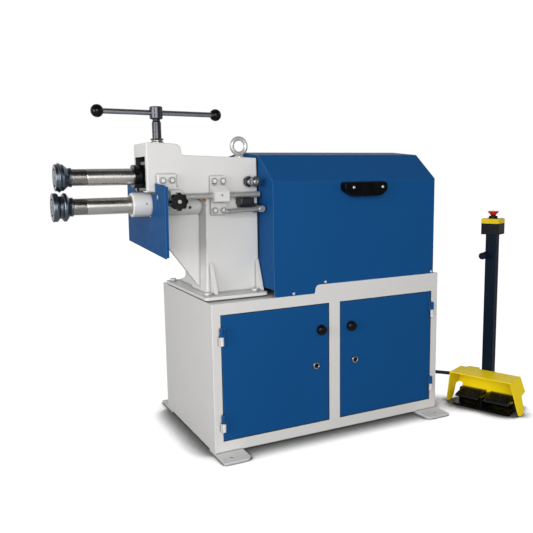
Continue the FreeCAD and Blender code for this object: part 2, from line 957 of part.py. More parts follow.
def frame_blank():
    """The frame's outer form before it is bored: head, column and the lower shaft's tube."""
    body = xz_plate([
        (frame_left, jaw_bottom, casting_edge),
        (jaw_end, jaw_bottom, jaw_bend_radius),
        (column_left, column_shoulder, column_fillet),
        (column_left - column_flare, base_top, 0),
        (frame_right, base_top, 0),
        (frame_right, frame_top_right, casting_edge),
        (head_right, frame_top_left, head_root_radius),
        (head_right - 2, head_top_right, head_corner),
        (screw_x, head_top - 1, 0),
        (frame_left, head_top, casting_edge),
    ], frame_front, frame_back)
    body = rounded_edges(body, casting_edge, lambda edge: outer_top_edge(edge))
    tube = x_rod(tube_joint, frame_right - rear_wall, axis_y, lower_axis, tube_radius)
    return body.fuse(tube)


def make_frame_foot():
    """The frame's foot: base plate, web under the tube and four ribs, each a solid of its own."""
    plate = xy_plate([
        (base_left, base_front, base_corner),
        (frame_right, base_front, base_corner),
        (frame_right, base_back, base_corner),
        (base_left, base_back, base_corner),
    ], base_bottom, base_top)
    seat = block(base_left + base_seat_inset, frame_right - base_seat_inset, base_front + base_seat_inset,
                 base_back - base_seat_inset, low_top, base_bottom + 1)
    plate = plate.fuse(seat)
    for x, y in frame_bolt_places():
        plate = plate.cut(z_rod(low_top - 1, base_top + 1, x, y, bolt_radius + bolt_hole_clearance))
    web = xz_plate([
        (web_tip, lower_axis, 0),
        (web_tip, web_tip_height, web_bend_radius),
        (column_left + web_foot_inset, base_top, 0),
        (column_left + casting_wall, base_top, 0),
        (column_left + casting_wall, lower_axis, 0),
    ], axis_y - web_thickness / 2, axis_y + web_thickness / 2)
    shapes = [web]
    for x0 in (column_left + rib_inset, frame_right - rib_thickness):
        shapes.append(front_rib(x0))
        shapes.append(rear_rib(x0))
    blank = frame_blank()
    solids = [plate.removeSplitter()]
    for shape in shapes:
        solids.append(shape.cut(blank))
    write("frame_foot", *solids)


def make_frame():
    """The cast machine frame: head, arm channel, column and the lower shaft's tube."""
    body = frame_blank()
    channel = xz_plate([
        (frame_left - 1, channel_floor, 0),
        (frame_right - rear_wall, channel_floor, 0),
        (frame_right - rear_wall, channel_roof_right, 0),
        (slot_end, channel_roof_left, 0),
        (slot_end, slot_top, 0),
        (frame_left - 1, slot_top, 0),
    ], slot_front, slot_back)
    mouth = block(frame_left - 1, jaw_end - 1, slot_front, slot_back, jaw_bottom - 2, channel_floor + 1)
    hollow = block(column_left + casting_wall, frame_right - rear_wall, slot_front, slot_back,
                   base_top - 1, lower_axis - tube_radius - casting_wall)
    lower_bore = x_rod(tube_joint - 1, frame_right + 1, axis_y, lower_axis, tube_bore_radius)
    upper_exit = x_rod(frame_right - rear_wall - 1, frame_right + 1, axis_y, upper_axis, tail_radius + 6)
    pit = z_rod(slot_top - 1, slot_top + pad_pit_depth, screw_x, axis_y,
                pad_neck_radius + pad_pit_clearance)
    bush_hole = z_rod(slot_top, head_top + 5, screw_x, axis_y, bush_radius - 4)
    pivots = y_rod(frame_front - 1, frame_back + 1, pivot_x, pivot_z, trunnion_radius + thread_fit)
    eye_hole = z_rod(frame_top_right - eye_thread_length - 2, frame_top_right + 10, eye_x, axis_y,
                     eye_thread_radius + thread_fit)
    body = body.cut([channel, mouth, hollow, lower_bore, upper_exit, pit, bush_hole, pivots, eye_hole])
    for x, z in bracket_bolt_places():
        depth = frame_front + bracket_bolt_depth - pad_plate
        body = body.cut(y_rod(frame_front - 1, depth, x, z, bracket_bolt_radius + thread_fit))
    flat = block(eye_x - eye_flange_radius - 2, eye_x + eye_flange_radius + 2,
                 axis_y - eye_flange_radius - 2,
                 axis_y + eye_flange_radius + 2, eye_seat_height(), eye_seat_height() + 12)
    body = body.cut(flat)
    write("machine_frame", body)


def outer_top_edge(edge):
    """Whether an edge is one of the long outer edges of the frame's front or back face."""
    on_face = abs(edge.CenterOfMass.y - frame_front) < 0.01 or abs(edge.CenterOfMass.y - frame_back) < 0.01
    return on_face and edge.CenterOfMass.z > frame_top_right - 60 and edge.CenterOfMass.x < frame_right - 1


def eye_seat_height():
    """The height of the machined seat under the lifting eye."""
    slope = (frame_top_left - frame_top_right) / (head_right - frame_right)
    return frame_top_right + slope * (eye_x + eye_flange_radius + 2 - frame_right)


def hex_bolt(x, y, z, across, head, shank_radius, shank_length):
    """A hexagon bolt standing head up, its bearing face at the height z."""
    top = hexagon(across, head, FreeCAD.Vector(x, y, z), FreeCAD.Vector(0, 0, 1))
    shank = z_rod(z - shank_length, z + 1, x, y, shank_radius)
    return join(top, shank)


def make_frame_bolts():
    """The four bolts that hold the frame on the cabinet, with washers and nuts."""
    bolts = []
    nut_top = low_top - sheet - top_bar_thickness
    for x, y in frame_bolt_places():
        washer = z_rod(base_top, base_top + washer_thickness, x, y, washer_radius)
        bolt = hex_bolt(x, y, base_top + washer_thickness - 0.5, bolt_head_across, bolt_head_height,
                        bolt_radius, base_top - nut_top + bolt_head_height + 6)
        nut = hexagon(bolt_head_across, bolt_head_height, FreeCAD.Vector(x, y, nut_top),
                      FreeCAD.Vector(0, 0, -1))
        bolts.append(join(washer, bolt, nut))
    write("frame_bolts", *bolts)


def make_lifting_eye():
    """The ring bolt on top of the frame."""
    seat = eye_seat_height()
    flange = z_rod(seat, seat + eye_flange_height, eye_x, axis_y, eye_flange_radius)
    neck = Part.makeCone(eye_flange_radius * 0.8, eye_section_radius + 1, eye_neck_height,
                         FreeCAD.Vector(eye_x, axis_y, seat + eye_flange_height - 0.5))
    ring_radius = eye_outer_radius - eye_section_radius
    centre = seat + eye_flange_height + eye_neck_height + ring_radius
    ring = Part.makeTorus(ring_radius, eye_section_radius, FreeCAD.Vector(eye_x, axis_y, centre - 2),
                          FreeCAD.Vector(0, 1, 0))
    thread = z_rod(seat - eye_thread_length, seat + 1, eye_x, axis_y, eye_thread_radius)
    write("lifting_eye", join(flange, neck, ring, thread))


def gear_teeth_outline():
    """The radius of the pitch, tip and root circles of the two equal gears."""
    pitch = gear_module * gear_teeth / 2
    return pitch, pitch + gear_addendum, pitch - gear_dedendum


def gear(axis_z, phase):
    """A spur gear about an X axis, its teeth tapering from the pitch circle."""
    pitch, tip, root = gear_teeth_outline()
    step = 2 * math.pi / gear_teeth
    points = []
    for tooth in range(gear_teeth):
        middle = phase + tooth * step
        for radius, share in ((root, -tooth_share * 0.72), (pitch, -tooth_share / 2),
                              (tip, -tooth_tip_share / 2),
                              (tip, tooth_tip_share / 2), (pitch, tooth_share / 2), (root,
                                                                                     tooth_share * 0.72)):
            angle = middle + share * step
            points.append(FreeCAD.Vector(gear_left, axis_y + radius * math.cos(angle),
                                         axis_z + radius * math.sin(angle)))
    points.append(points[0])
    body = Part.Face(Part.makePolygon(points)).extrude(FreeCAD.Vector(gear_face, 0, 0))
    return body.cut(x_rod(gear_left - 1, gear_left + gear_face + 1, axis_y, axis_z,
                          tail_radius + roll_seat_clearance))


def make_gears():
    """The two meshing gears of equal size, a tooth of the upper one in a gap of the lower one."""
    step = 2 * math.pi / gear_teeth
    write("upper_gear", gear(upper_axis, -math.pi / 2))
    write("lower_gear", gear(lower_axis, math.pi / 2 + step / 2))


def make_shafts():
    """The upper and lower shafts, stepped for roll, spacer, bearings and gear."""
    upper = x_turned([
        (upper_face + recess_depth + 2, seat_radius - 1),
        (upper_face + recess_depth + 3, seat_radius),
        (spacer_start, seat_radius),
        (spacer_start, spacer_radius),
        (upper_shoulder - spacer_groove, spacer_radius),
        (upper_shoulder - spacer_groove, spacer_radius - 0.8),
        (upper_shoulder, spacer_radius - 0.8),
        (upper_shoulder, shaft_radius - 0.6),
        (upper_shoulder + 1, shaft_radius),
        (arm_end, shaft_radius),
        (arm_end, tail_radius),
        (upper_shaft_end - 1.5, tail_radius),
        (upper_shaft_end, tail_radius - 1.5),
    ], axis_y, upper_axis)
    write("upper_shaft", upper)
    lower = x_turned([
        (lower_face + recess_depth + 2, seat_radius - 1),
        (lower_face + recess_depth + 3, seat_radius),
        (spacer_start, seat_radius),
        (spacer_start, spacer_radius),
        (lower_shoulder - spacer_groove, spacer_radius),
        (lower_shoulder - spacer_groove, spacer_radius - 0.8),
        (lower_shoulder, spacer_radius - 0.8),
        (lower_shoulder, shaft_radius - 0.6),
        (lower_shoulder + 1, shaft_radius),
        (tube_end - lower_collar_length - 1, shaft_radius),
        (tube_end - lower_collar_length - 1, lower_collar_radius),
        (tube_end - 1, lower_collar_radius),
        (tube_end - 1, shaft_radius),
        (frame_right + 3, shaft_radius),
        (frame_right + 3, tail_radius),
        (lower_shaft_end - 1.5, tail_radius),
        (lower_shaft_end, tail_radius - 1.5),
    ], axis_y, lower_axis)
    write("lower_shaft", lower)


def make_rolls():
    """The beading rolls: a ridge on the upper one, a groove in the lower one, and their ring nuts."""
    upper = x_turned([
        (upper_face, upper_rim_radius - 1.5),
        (upper_face + 1.5, upper_rim_radius),
        (roll_bead_centre - 6, upper_rim_radius),
        (roll_bead_centre - 3.5, upper_rim_radius + 1.2),
        (roll_bead_centre - 1.5, upper_bead_radius - 0.4),
        (roll_bead_centre, upper_bead_radius),
        (roll_bead_centre + 1.5, upper_bead_radius - 0.4),
        (roll_bead_centre + 3.5, upper_rim_radius + 1.2),
        (roll_bead_centre + 6, upper_rim_radius),
        (roll_bead_centre + 12, upper_rim_radius - 0.5),
        (roll_bead_centre + 14, upper_rim_radius - 2.5),
        (spacer_start - 4, seat_radius + 9),
        (spacer_start, seat_radius + 8),
        (spacer_start, roll_hub_radius),
        (roll_hub_end, roll_hub_radius),
        (roll_hub_end, spacer_radius + roll_seat_clearance),
    ], axis_y, upper_axis)
    lower = x_turned([
        (lower_face, lower_rim_radius - 2),
        (lower_face + 2, lower_rim_radius),
        (roll_bead_centre - 12, lower_rim_radius),
        (roll_bead_centre - 8, lower_rim_radius - 1.5),
        (roll_bead_centre - 4.5, groove_radius + 2),
        (roll_bead_centre - 2, groove_radius),
        (roll_bead_centre + 2, groove_radius),
        (roll_bead_centre + 4.5, groove_radius + 2),
        (roll_bead_centre + 8, lower_rim_radius - 1.5),
        (roll_bead_centre + 10, lower_rim_radius),
        (roll_bead_centre + 16, lower_rim_radius - 0.5),
        (roll_bead_centre + 18, lower_rim_radius - 3),
        (spacer_start - 3, seat_radius + 9),
        (spacer_start, seat_radius + 8),
        (spacer_start, roll_hub_radius),
        (roll_hub_end, roll_hub_radius),
        (roll_hub_end, spacer_radius + roll_seat_clearance),
    ], axis_y, lower_axis)
    for name, body, face, axis in (("upper", upper, upper_face, upper_axis),
                                   ("lower", lower, lower_face, lower_axis)):
        body = body.cut(x_rod(face - 1, spacer_start + 0.01, axis_y, axis,
                              seat_radius + roll_seat_clearance))
        body = body.cut(x_rod(spacer_start, roll_hub_end + 1, axis_y, axis,
                              spacer_radius + roll_seat_clearance))
        body = body.cut(x_rod(face - 1, face + recess_depth, axis_y, axis, recess_radius))
        write(name + "_roll", body)
        nut = x_rod(face + recess_depth - roll_nut_thickness + 3, face + recess_depth, axis_y, axis,
                    roll_nut_radius)
        nut = nut.fuse(x_rod(face + recess_depth - 1, face + recess_depth + 2, axis_y, axis,
                             seat_radius - 2))
        nut = nut.cut(x_rod(face - 6, face + recess_depth + 1, axis_y, axis, roll_nut_bore))
        for index in range(pin_hole_count):
            angle = 2 * math.pi * index / pin_hole_count + math.pi / 4
            nut = nut.cut(x_rod(face - 6, face + recess_depth - 1,
                                axis_y + pin_hole_circle * math.cos(angle),
                                axis + pin_hole_circle * math.sin(angle), pin_hole_radius))
        write(name + "_roll_nut", nut.removeSplitter())


def make_frame_bushes():
    """The frame's three bronze bushes: two for the lower shaft and one for the feed screw."""
    write("frame_bushes", *lower_shaft_bushes(), feed_screw_bush())


def make_bearing_tube():
    """The bearing tube in front of the frame."""
    tube = x_rod(tube_end, tube_joint, axis_y, lower_axis, tube_radius)
    tube = tube.makeChamfer(3, [edge for edge in tube.Edges
                                if abs(edge.CenterOfMass.x - tube_end) < 0.01 and edge.Length < 300])
    spigot = x_rod(tube_joint - 1, tube_joint + tube_spigot, axis_y, lower_axis, tube_bore_radius - 0.02)
    tube = tube.fuse(spigot)
    tube = tube.cut(x_rod(tube_end - 1, tube_joint + tube_spigot + 1, axis_y, lower_axis,
                          shaft_radius + bush_wall))
    screw_place = tube_screw_place()
    tube = tube.cut(y_rod(axis_y - tube_radius - 1, axis_y - shaft_radius, screw_place[0], screw_place[1],
                          set_screw_radius + thread_fit))
    write("lower_bearing_tube", tube.removeSplitter())


def lower_shaft_bushes():
    """The bush in the bearing tube and the bush at the frame's right-hand end."""
    front_bush = x_rod(tube_end + 1, tube_joint + tube_spigot, axis_y, lower_axis, shaft_radius + bush_wall)
    front_bush = front_bush.cut(x_rod(tube_end, tube_joint + tube_spigot + 1, axis_y, lower_axis,
                                      shaft_radius + running_fit))
    rear_bush = x_rod(frame_right - rear_bush_length, frame_right, axis_y, lower_axis,
                      tube_bore_radius - 0.02)
    rear_bush = rear_bush.cut(x_rod(frame_right - rear_bush_length - 1, frame_right + 1, axis_y, lower_axis,
                                    shaft_radius + running_fit))
    return front_bush, rear_bush


def tube_screw_place():
    """The X and Z of the set screw in the bearing tube."""
    return (tube_joint - 14, lower_axis + 4)


def make_arm():
    """The rocking arm with its sliding block, bushes, keeper plate and slotted ring nut."""
    half = frame_thickness / 2 - cheek_wall - slide_gap
    body = block(block_left, block_right, axis_y - half, axis_y + half, block_bottom, block_top)
    body = body.fuse(x_rod(block_right - 1, arm_end, axis_y, upper_axis, arm_tube_radius))
    for side in (-1, 1):
        face = axis_y + side * (half - arm_boss_gap)
        root = axis_y + side * (arm_bore_radius - 4)
        body = body.fuse(y_rod(min(face, root), max(face, root), pivot_x, pivot_z, arm_boss_radius))
    body = body.cut(x_rod(block_left - 1, arm_end + 1, axis_y, upper_axis, arm_bore_radius))
    body = body.cut(x_rod(block_left - 1, block_left + front_bush_length, axis_y, upper_axis,
                          shaft_radius + bush_wall))
    body = body.cut(x_rod(arm_end - rear_bush_length, arm_end + 1, axis_y, upper_axis,
                          shaft_radius + bush_wall))
    for side in (-1, 1):
        tip = axis_y + side * (half - arm_boss_gap - trunnion_tip_length - 1)
        outside = axis_y + side * (half + 5)
        body = body.cut(y_rod(min(tip, outside), max(tip, outside), pivot_x, pivot_z,
                              trunnion_tip_radius + trunnion_fit))
    write("rocking_arm", body.removeSplitter())

    bushes = []
    for x0, x1 in ((block_left, block_left + front_bush_length), (arm_end - rear_bush_length, arm_end)):
        bush = x_rod(x0, x1, axis_y, upper_axis, shaft_radius + bush_wall)
        bushes.append(bush.cut(x_rod(x0 - 1, x1 + 1, axis_y, upper_axis, shaft_radius + running_fit)))
    write("arm_bushes", *bushes)

    keeper = block(block_left + keeper_inset, block_right - keeper_inset, axis_y - keeper_width / 2,
                   axis_y + keeper_width / 2, block_top, block_top + keeper_thickness)
    keeper = rounded_edges(keeper, 4, upright)
    keeper = keeper.cut(z_rod(block_top - 1, block_top + keeper_thickness + 1, screw_x, axis_y,
                              keeper_hole_radius))
    keeper = keeper.cut(z_rod(block_top - 1, block_top + pad_pocket_depth, screw_x, axis_y,
                              pad_pocket_radius))
    for x in (block_left + keeper_inset + keeper_screw_inset,
              block_right - keeper_inset - keeper_screw_inset):
        for side in (-1, 1):
            y = axis_y + side * (keeper_width / 2 - keeper_screw_inset)
            height = block_top + keeper_thickness
            keeper = keeper.cut(z_rod(height - keeper_screw_height, height + 1, x, y, keeper_screw_radius))
    write("keeper_plate", keeper)

    ring = x_rod(block_left - ring_nut_width, block_left, axis_y, upper_axis, ring_nut_radius)
    ring = ring.cut(x_rod(block_left - ring_nut_width - 1, block_left + 1, axis_y, upper_axis,
                          shaft_radius + ring_nut_shaft_gap))
    for index in range(ring_nut_slots):
        slot = block(block_left - ring_nut_width - 1, block_left - ring_nut_width + ring_nut_slot_length,
                     axis_y - ring_nut_slot_width / 2, axis_y + ring_nut_slot_width / 2,
                     upper_axis + ring_nut_radius - ring_nut_slot_depth, upper_axis + ring_nut_radius + 5)
        slot.rotate(FreeCAD.Vector(0, axis_y, upper_axis), FreeCAD.Vector(1, 0, 0),
                    index * 360 / ring_nut_slots)
        ring = ring.cut(slot)
    write("slotted_ring_nut", ring)


def make_trunnions():
    """The two pivot screws of the rocking arm, each with two nuts."""
    screws = []
    half = frame_thickness / 2 - cheek_wall - slide_gap
    for side in (-1, 1):
        face = axis_y + side * frame_thickness / 2
        end = face + side * trunnion_reach
        seat = axis_y + side * (half - arm_boss_gap + 0.5)
        tip = seat - side * trunnion_tip_length
        stud = y_rod(min(seat, end), max(seat, end), pivot_x, pivot_z, trunnion_radius)
        stud = stud.makeChamfer(trunnion_chamfer, [edge for edge in stud.Edges
                                                   if abs(edge.CenterOfMass.y - end) < 0.01])
        pin = y_rod(min(seat, tip) - 0.5, max(seat, tip) + 0.5, pivot_x, pivot_z, trunnion_tip_radius)
        pieces = [stud, pin]
        for offset in (0, second_nut_offset):
            start = FreeCAD.Vector(pivot_x, face + side * offset, pivot_z)
            pieces.append(hexagon(nut_across, nut_height, start, FreeCAD.Vector(0, side, 0)))
        screws.append(join(*pieces))
    write("trunnion_screws", *screws)


def make_feed():
    """The feed screw with its hub, the handle bar, the thrust pad and the threaded bush."""
    tip_bottom = pad_top - tip_depth
    screw = z_turned([
        (tip_bottom, screw_tip_radius - 1),
        (tip_bottom + 1, screw_tip_radius),
        (pad_top + 0.5, screw_tip_radius),
        (pad_top + 0.5, screw_radius_feed - 1.5),
        (pad_top + 2, screw_radius_feed),
        (hub_bottom - hub_neck_length, screw_radius_feed),
        (hub_bottom - hub_neck_length + 3, screw_radius_feed - 2),
        (hub_bottom - 2, hub_neck_radius),
        (hub_bottom, hub_radius - hub_edge),
        (hub_bottom + hub_edge, hub_radius),
        (hub_bottom + hub_height - hub_edge, hub_radius),
        (hub_bottom + hub_height, hub_radius - hub_edge),
    ], screw_x, axis_y)
    bar_height = hub_bottom + hub_height / 2
    hole = x_rod(screw_x - hub_radius - 5, screw_x + hub_radius + 5, axis_y, bar_height,
                 bar_radius + thread_fit)
    hole.rotate(FreeCAD.Vector(screw_x, axis_y, 0), FreeCAD.Vector(0, 0, 1), bar_angle)
    write("feed_screw", screw.cut(hole))

    middle = screw_x + bar_offset
    half = bar_length / 2
    bar = x_rod(middle - half - ball_socket_depth / 2, middle + half + ball_socket_depth / 2,
                axis_y, bar_height, bar_radius)
    balls = []
    for side in (-1, 1):
        centre = FreeCAD.Vector(middle + side * half, axis_y, bar_height)
        ball = Part.makeSphere(ball_radius, centre)
        socket = x_rod(min(centre.x - side * ball_radius * 1.2, centre.x + side * ball_socket_depth / 2),
                       max(centre.x - side * ball_radius * 1.2, centre.x + side * ball_socket_depth / 2),
                       axis_y, bar_height, bar_radius + thread_fit)
        flat = block(centre.x - side * ball_radius - 3, centre.x - side * ball_radius + 3, axis_y - 20,
                     axis_y + 20,
                     bar_height - 20, bar_height + 20)
        balls.append(ball.cut([socket, flat]))
    for solid in [bar] + balls:
        solid.rotate(FreeCAD.Vector(screw_x, axis_y, 0), FreeCAD.Vector(0, 0, 1), bar_angle)
    write("feed_bar", bar, *balls)

    pad = z_turned([
        (block_top + pad_gap, 3),
        (block_top + pad_gap + pad_dome, pad_radius - 1),
        (block_top + pad_gap + pad_dome + 1, pad_radius),
        (block_top + pad_gap + pad_flange, pad_radius),
        (block_top + pad_gap + pad_flange, pad_neck_radius),
        (pad_top, pad_neck_radius),
    ], screw_x, axis_y)
    pad = pad.cut(z_rod(tip_bottom - 0.3, pad_top + 1, screw_x, axis_y, screw_tip_radius + running_fit))
    write("thrust_pad", pad)


def feed_screw_bush():
    """The bush that guides the feed screw in the frame's head."""
    bush = z_rod(slot_top + pad_pit_depth, head_seat(), screw_x, axis_y, bush_radius - 4 - thread_fit)
    collar = z_turned([
        (head_seat(), collar_radius - 1),
        (head_seat() + 1, collar_radius),
        (head_seat() + collar_height * 0.3, collar_radius),
        (head_seat() + collar_height * 0.45, collar_waist_radius),
        (head_seat() + collar_height * 0.6, collar_waist_radius),
        (head_seat() + collar_height * 0.85, collar_radius + 0.5),
        (head_seat() + collar_height, collar_radius - 1),
    ], screw_x, axis_y)
    bush = bush.fuse(collar)
    bush = bush.cut(z_rod(slot_top, head_seat() + collar_height + 1, screw_x, axis_y,
                          screw_radius_feed + bush_bore_gap))
    return bush.removeSplitter()


def head_seat():
    """The height at which the threaded bush's collar rests on the head."""
    return head_top


def bracket_bolt_places():
    """The X and Z of the six bolts on the frame's front face."""
    places = []
    clamp_middle = (clamp_pad_left + clamp_pad_right) / 2
    guide_middle = (guide_left + guide_right) / 2
    for middle, line in ((clamp_middle, clamp_bolt_line), (guide_middle, guide_bolt_line),
                         (guide_middle, lower_bolt_line)):
        for side in (-1, 1):
            places.append((middle + side * bracket_bolt_pitch / 2, line))
    return places


def make_stop():
    """The stop plate on its sliding rod, with its two brackets, bolts, set screws and star knob."""
    plate_left = plate_right - plate_sheet
    plate = yz_plate([
        (plate_front, plate_bottom, plate_corner),
        (plate_back, plate_bottom, plate_corner),
        (plate_back, plate_top, plate_corner),
        (plate_front, plate_top, plate_corner),
    ], plate_left, plate_right)
    flange = block(plate_left, plate_right + plate_flange, plate_front, plate_front + plate_sheet,
                   plate_bottom + plate_corner, plate_top - plate_corner)
    plate = plate.fuse(flange)
    hole = x_rod(plate_left - 1, plate_right + 1, axis_y, lower_axis, tube_radius + plate_hole_clearance)
    lean_low = (jaw_bottom - lower_axis) * math.sin(math.radians(plate_tilt))
    lean_high = (plate_top - lower_axis) * math.sin(math.radians(plate_tilt))
    notch = block(plate_left - 1, plate_right + 1, frame_front - plate_notch_clearance + lean_low,
                  frame_back + plate_notch_clearance + lean_high, plate_notch_bottom, plate_top + 1)
    plate = plate.cut([hole, notch])
    plate.rotate(FreeCAD.Vector(0, axis_y, lower_axis), FreeCAD.Vector(1, 0, 0), plate_tilt)
    plate = plate.cut(x_rod(plate_left - 1, plate_right + 1, rod_y, rod_z, rod_neck_radius + thread_fit))
    write("stop_plate", plate.removeSplitter())

    rod = x_turned([
        (plate_left, rod_neck_radius),
        (plate_right, rod_neck_radius),
        (plate_right, rod_radius),
        (rod_right - rod_chamfer, rod_radius),
        (rod_right, rod_radius - rod_chamfer),
    ], rod_y, rod_z)
    write("stop_rod", rod)

    pad = block(clamp_pad_left, clamp_pad_right, frame_front - pad_plate, frame_front,
                rod_z + clamp_boss_radius + 6, clamp_pad_top)
    pad = rounded_edges(pad, 4, lambda edge: abs(edge.CenterOfMass.y - frame_front + pad_plate) < 0.01)
    boss = x_rod(clamp_boss_left, clamp_boss_right, rod_y, rod_z, clamp_boss_radius)
    hanger = block(clamp_boss_left, clamp_boss_right, frame_front - pad_plate, frame_front - 0.5, rod_z,
                   rod_z + clamp_boss_radius + 8)
    ears = block(clamp_boss_left, clamp_boss_right, rod_y - clamp_boss_radius, rod_y + clamp_boss_radius,
                 star_z - star_ear, rod_z)
    clamp = pad.fuse([boss, hanger, ears])
    clamp = clamp.cut(x_rod(clamp_boss_left - 1, clamp_boss_right + 1, rod_y, rod_z, rod_radius + rod_fit))
    clamp = clamp.cut(block(clamp_boss_left - 1, clamp_boss_right + 1, rod_y - clamp_slit / 2,
                            rod_y + clamp_slit / 2, star_z - star_ear - 1, rod_z))
    clamp = clamp.cut(y_rod(rod_y - clamp_boss_radius - 1, rod_y + clamp_boss_radius - 4, star_x, star_z,
                            star_stud_radius + star_bore_gap))
    behind = block(clamp_boss_left - 1, clamp_boss_right + 1, frame_front, frame_front + 20,
                   star_z - star_ear - 1, rod_z + clamp_boss_radius + 20)
    clamp = clamp.cut(behind)

    block_top_front = guide_block_top - guide_slope
    guide = yz_plate([
        (frame_front, guide_bottom, 0),
        (frame_front, guide_top, 0),
        (frame_front - pad_plate, guide_top, 2),
        (frame_front - pad_plate, guide_block_top + 4, 3),
        (guide_block_front, block_top_front, 3),
        (guide_block_front, guide_block_bottom, 3),
        (frame_front - pad_plate, guide_block_bottom, 3),
        (frame_front - pad_plate, guide_bottom, 2),
    ], guide_left, guide_right)
    guide = guide.cut(x_rod(guide_left - 1, guide_right + 1, rod_y, rod_z, rod_radius + rod_fit))
    guide_middle = (guide_left + guide_right) / 2
    guide = guide.cut(y_rod(guide_block_front - 1, rod_y, guide_middle, rod_z,
                            set_screw_radius + thread_fit))
    bolts = []
    for x, z in bracket_bolt_places():
        hole = y_rod(frame_front - pad_plate - 1, frame_front + 1, x, z, bracket_bolt_radius + thread_fit)
        clamp = clamp.cut(hole)
        guide = guide.cut(hole)
        head = hexagon(bracket_bolt_across, bracket_bolt_height,
                       FreeCAD.Vector(x, frame_front - pad_plate, z),
                       FreeCAD.Vector(0, -1, 0))
        shank = y_rod(frame_front - pad_plate - 1, frame_front + bracket_bolt_depth - pad_plate - 1, x, z,
                      bracket_bolt_radius)
        bolts.append(join(head, shank))
    write("stop_clamp_bracket", clamp.removeSplitter())
    write("stop_guide_bracket", guide.removeSplitter())
    screw_x_tube, screw_z_tube = tube_screw_place()
    tube_skin = math.sqrt(tube_radius ** 2 - (screw_z_tube - lower_axis) ** 2)
    for x, z, outside, stop in ((screw_x_tube, screw_z_tube, axis_y - tube_skin,
                                 axis_y - shaft_radius - bush_wall),
                                (guide_middle, rod_z, guide_block_front, rod_y - rod_radius)):
        screw = y_rod(outside + set_screw_sink, stop - set_screw_gap, x, z, set_screw_radius)
        socket = hexagon(2 * set_screw_socket, 4, FreeCAD.Vector(x, outside - set_screw_sink, z),
                         FreeCAD.Vector(0, 1, 0))
        bolts.append(screw.cut(socket))
    write("bracket_bolts", *bolts)

    boss_front = rod_y - clamp_boss_radius
    knob_front = boss_front - star_hub_length - star_thickness
    knob = y_rod(knob_front, boss_front - star_hub_length, star_x, star_z, star_radius)
    knob = knob.makeChamfer(star_edge, knob.Edges[0:1] + knob.Edges[2:3])
    for index in range(star_lobes):
        angle = 2 * math.pi * (index + 0.5) / star_lobes
        knob = knob.cut(y_rod(knob_front - 1, boss_front, star_x + star_scallop_circle * math.cos(angle),
                              star_z + star_scallop_circle * math.sin(angle), star_scallop_radius))
    hub = y_rod(boss_front - star_hub_length - 1, boss_front - 0.3, star_x, star_z, star_hub_radius)
    stud = y_rod(boss_front - 2, rod_y + clamp_boss_radius - 6, star_x, star_z, star_stud_radius)
    write("star_knob", join(knob, hub, stud))


def make_clamp_lever():
    """The rod clamp: its bracket with the shoe under the rod, and the lever with its bar."""
    boss = y_rod(lever_boss_front, frame_front, lever_x, lever_z, lever_boss_radius)
    arm = block(shoe_left + 4, lever_x, frame_front - pad_plate - 8, frame_front, lever_arm_bottom,
                lever_arm_top)
    shoe = block(shoe_left, shoe_right, shoe_front, frame_front, lever_arm_top - 1,
                 rod_z - rod_radius - shoe_gap)
    shoe = rounded_edges(shoe, 2.5, lambda edge: abs(edge.CenterOfMass.y - shoe_front) < 0.01)
    bracket = boss.fuse([arm, shoe])
    bracket = bracket.cut(y_rod(lever_boss_front - 1, frame_front + 1, lever_x, lever_z,
                                lever_radius - 3 + running_fit))
    write("clamp_bracket", bracket.removeSplitter())

    pivot = y_rod(lever_boss_front - 2, frame_front - 0.5, lever_x, lever_z, lever_radius - 3)
    head = y_rod(lever_front, lever_boss_front - 0.3, lever_x, lever_z, lever_radius)
    head = head.makeChamfer(1.2,
                            [edge for edge in head.Edges if abs(edge.CenterOfMass.y - lever_front) < 0.01])
    end = lever_x - lever_bar_length
    bar = x_turned([
        (end, lever_bar_radius - 2),
        (end + 1.5, lever_bar_radius - 0.6),
        (end + lever_bar_tip, lever_bar_radius - 0.6),
        (end + lever_bar_tip, lever_bar_radius - 1.6),
        (end + lever_bar_tip + 1.5, lever_bar_radius - 1.6),
        (end + lever_bar_tip + 1.5, lever_bar_radius),
        (lever_x, lever_bar_radius),
    ], lever_bar_y, lever_z)
    bar.rotate(FreeCAD.Vector(lever_x, lever_bar_y, lever_z), FreeCAD.Vector(0, 1, 0), -lever_bar_drop)
    write("clamp_lever", join(pivot, head, bar))


def cover_profile(inset):
    """The cover's cross-section in Y and Z, shrunk by an inset on every side but the bottom."""
    bottom = low_top - 10
    lean = math.atan2(cover_shoulder - cover_crease, cover_chamfer_depth)
    crease_drop = inset * math.tan(lean / 2)
    shoulder_in = half_depth - cover_chamfer_depth
    return [
        (front + inset, bottom, 0),
        (front + inset, cover_crease - crease_drop, 3),
        (-shoulder_in + inset * 0.42, cover_shoulder - inset, 3),
        (0, cover_ridge - inset, 8),
        (shoulder_in - inset * 0.42, cover_shoulder - inset, 3),
        (back - inset, cover_crease - crease_drop, 3),
        (back - inset, bottom, 0),
    ]


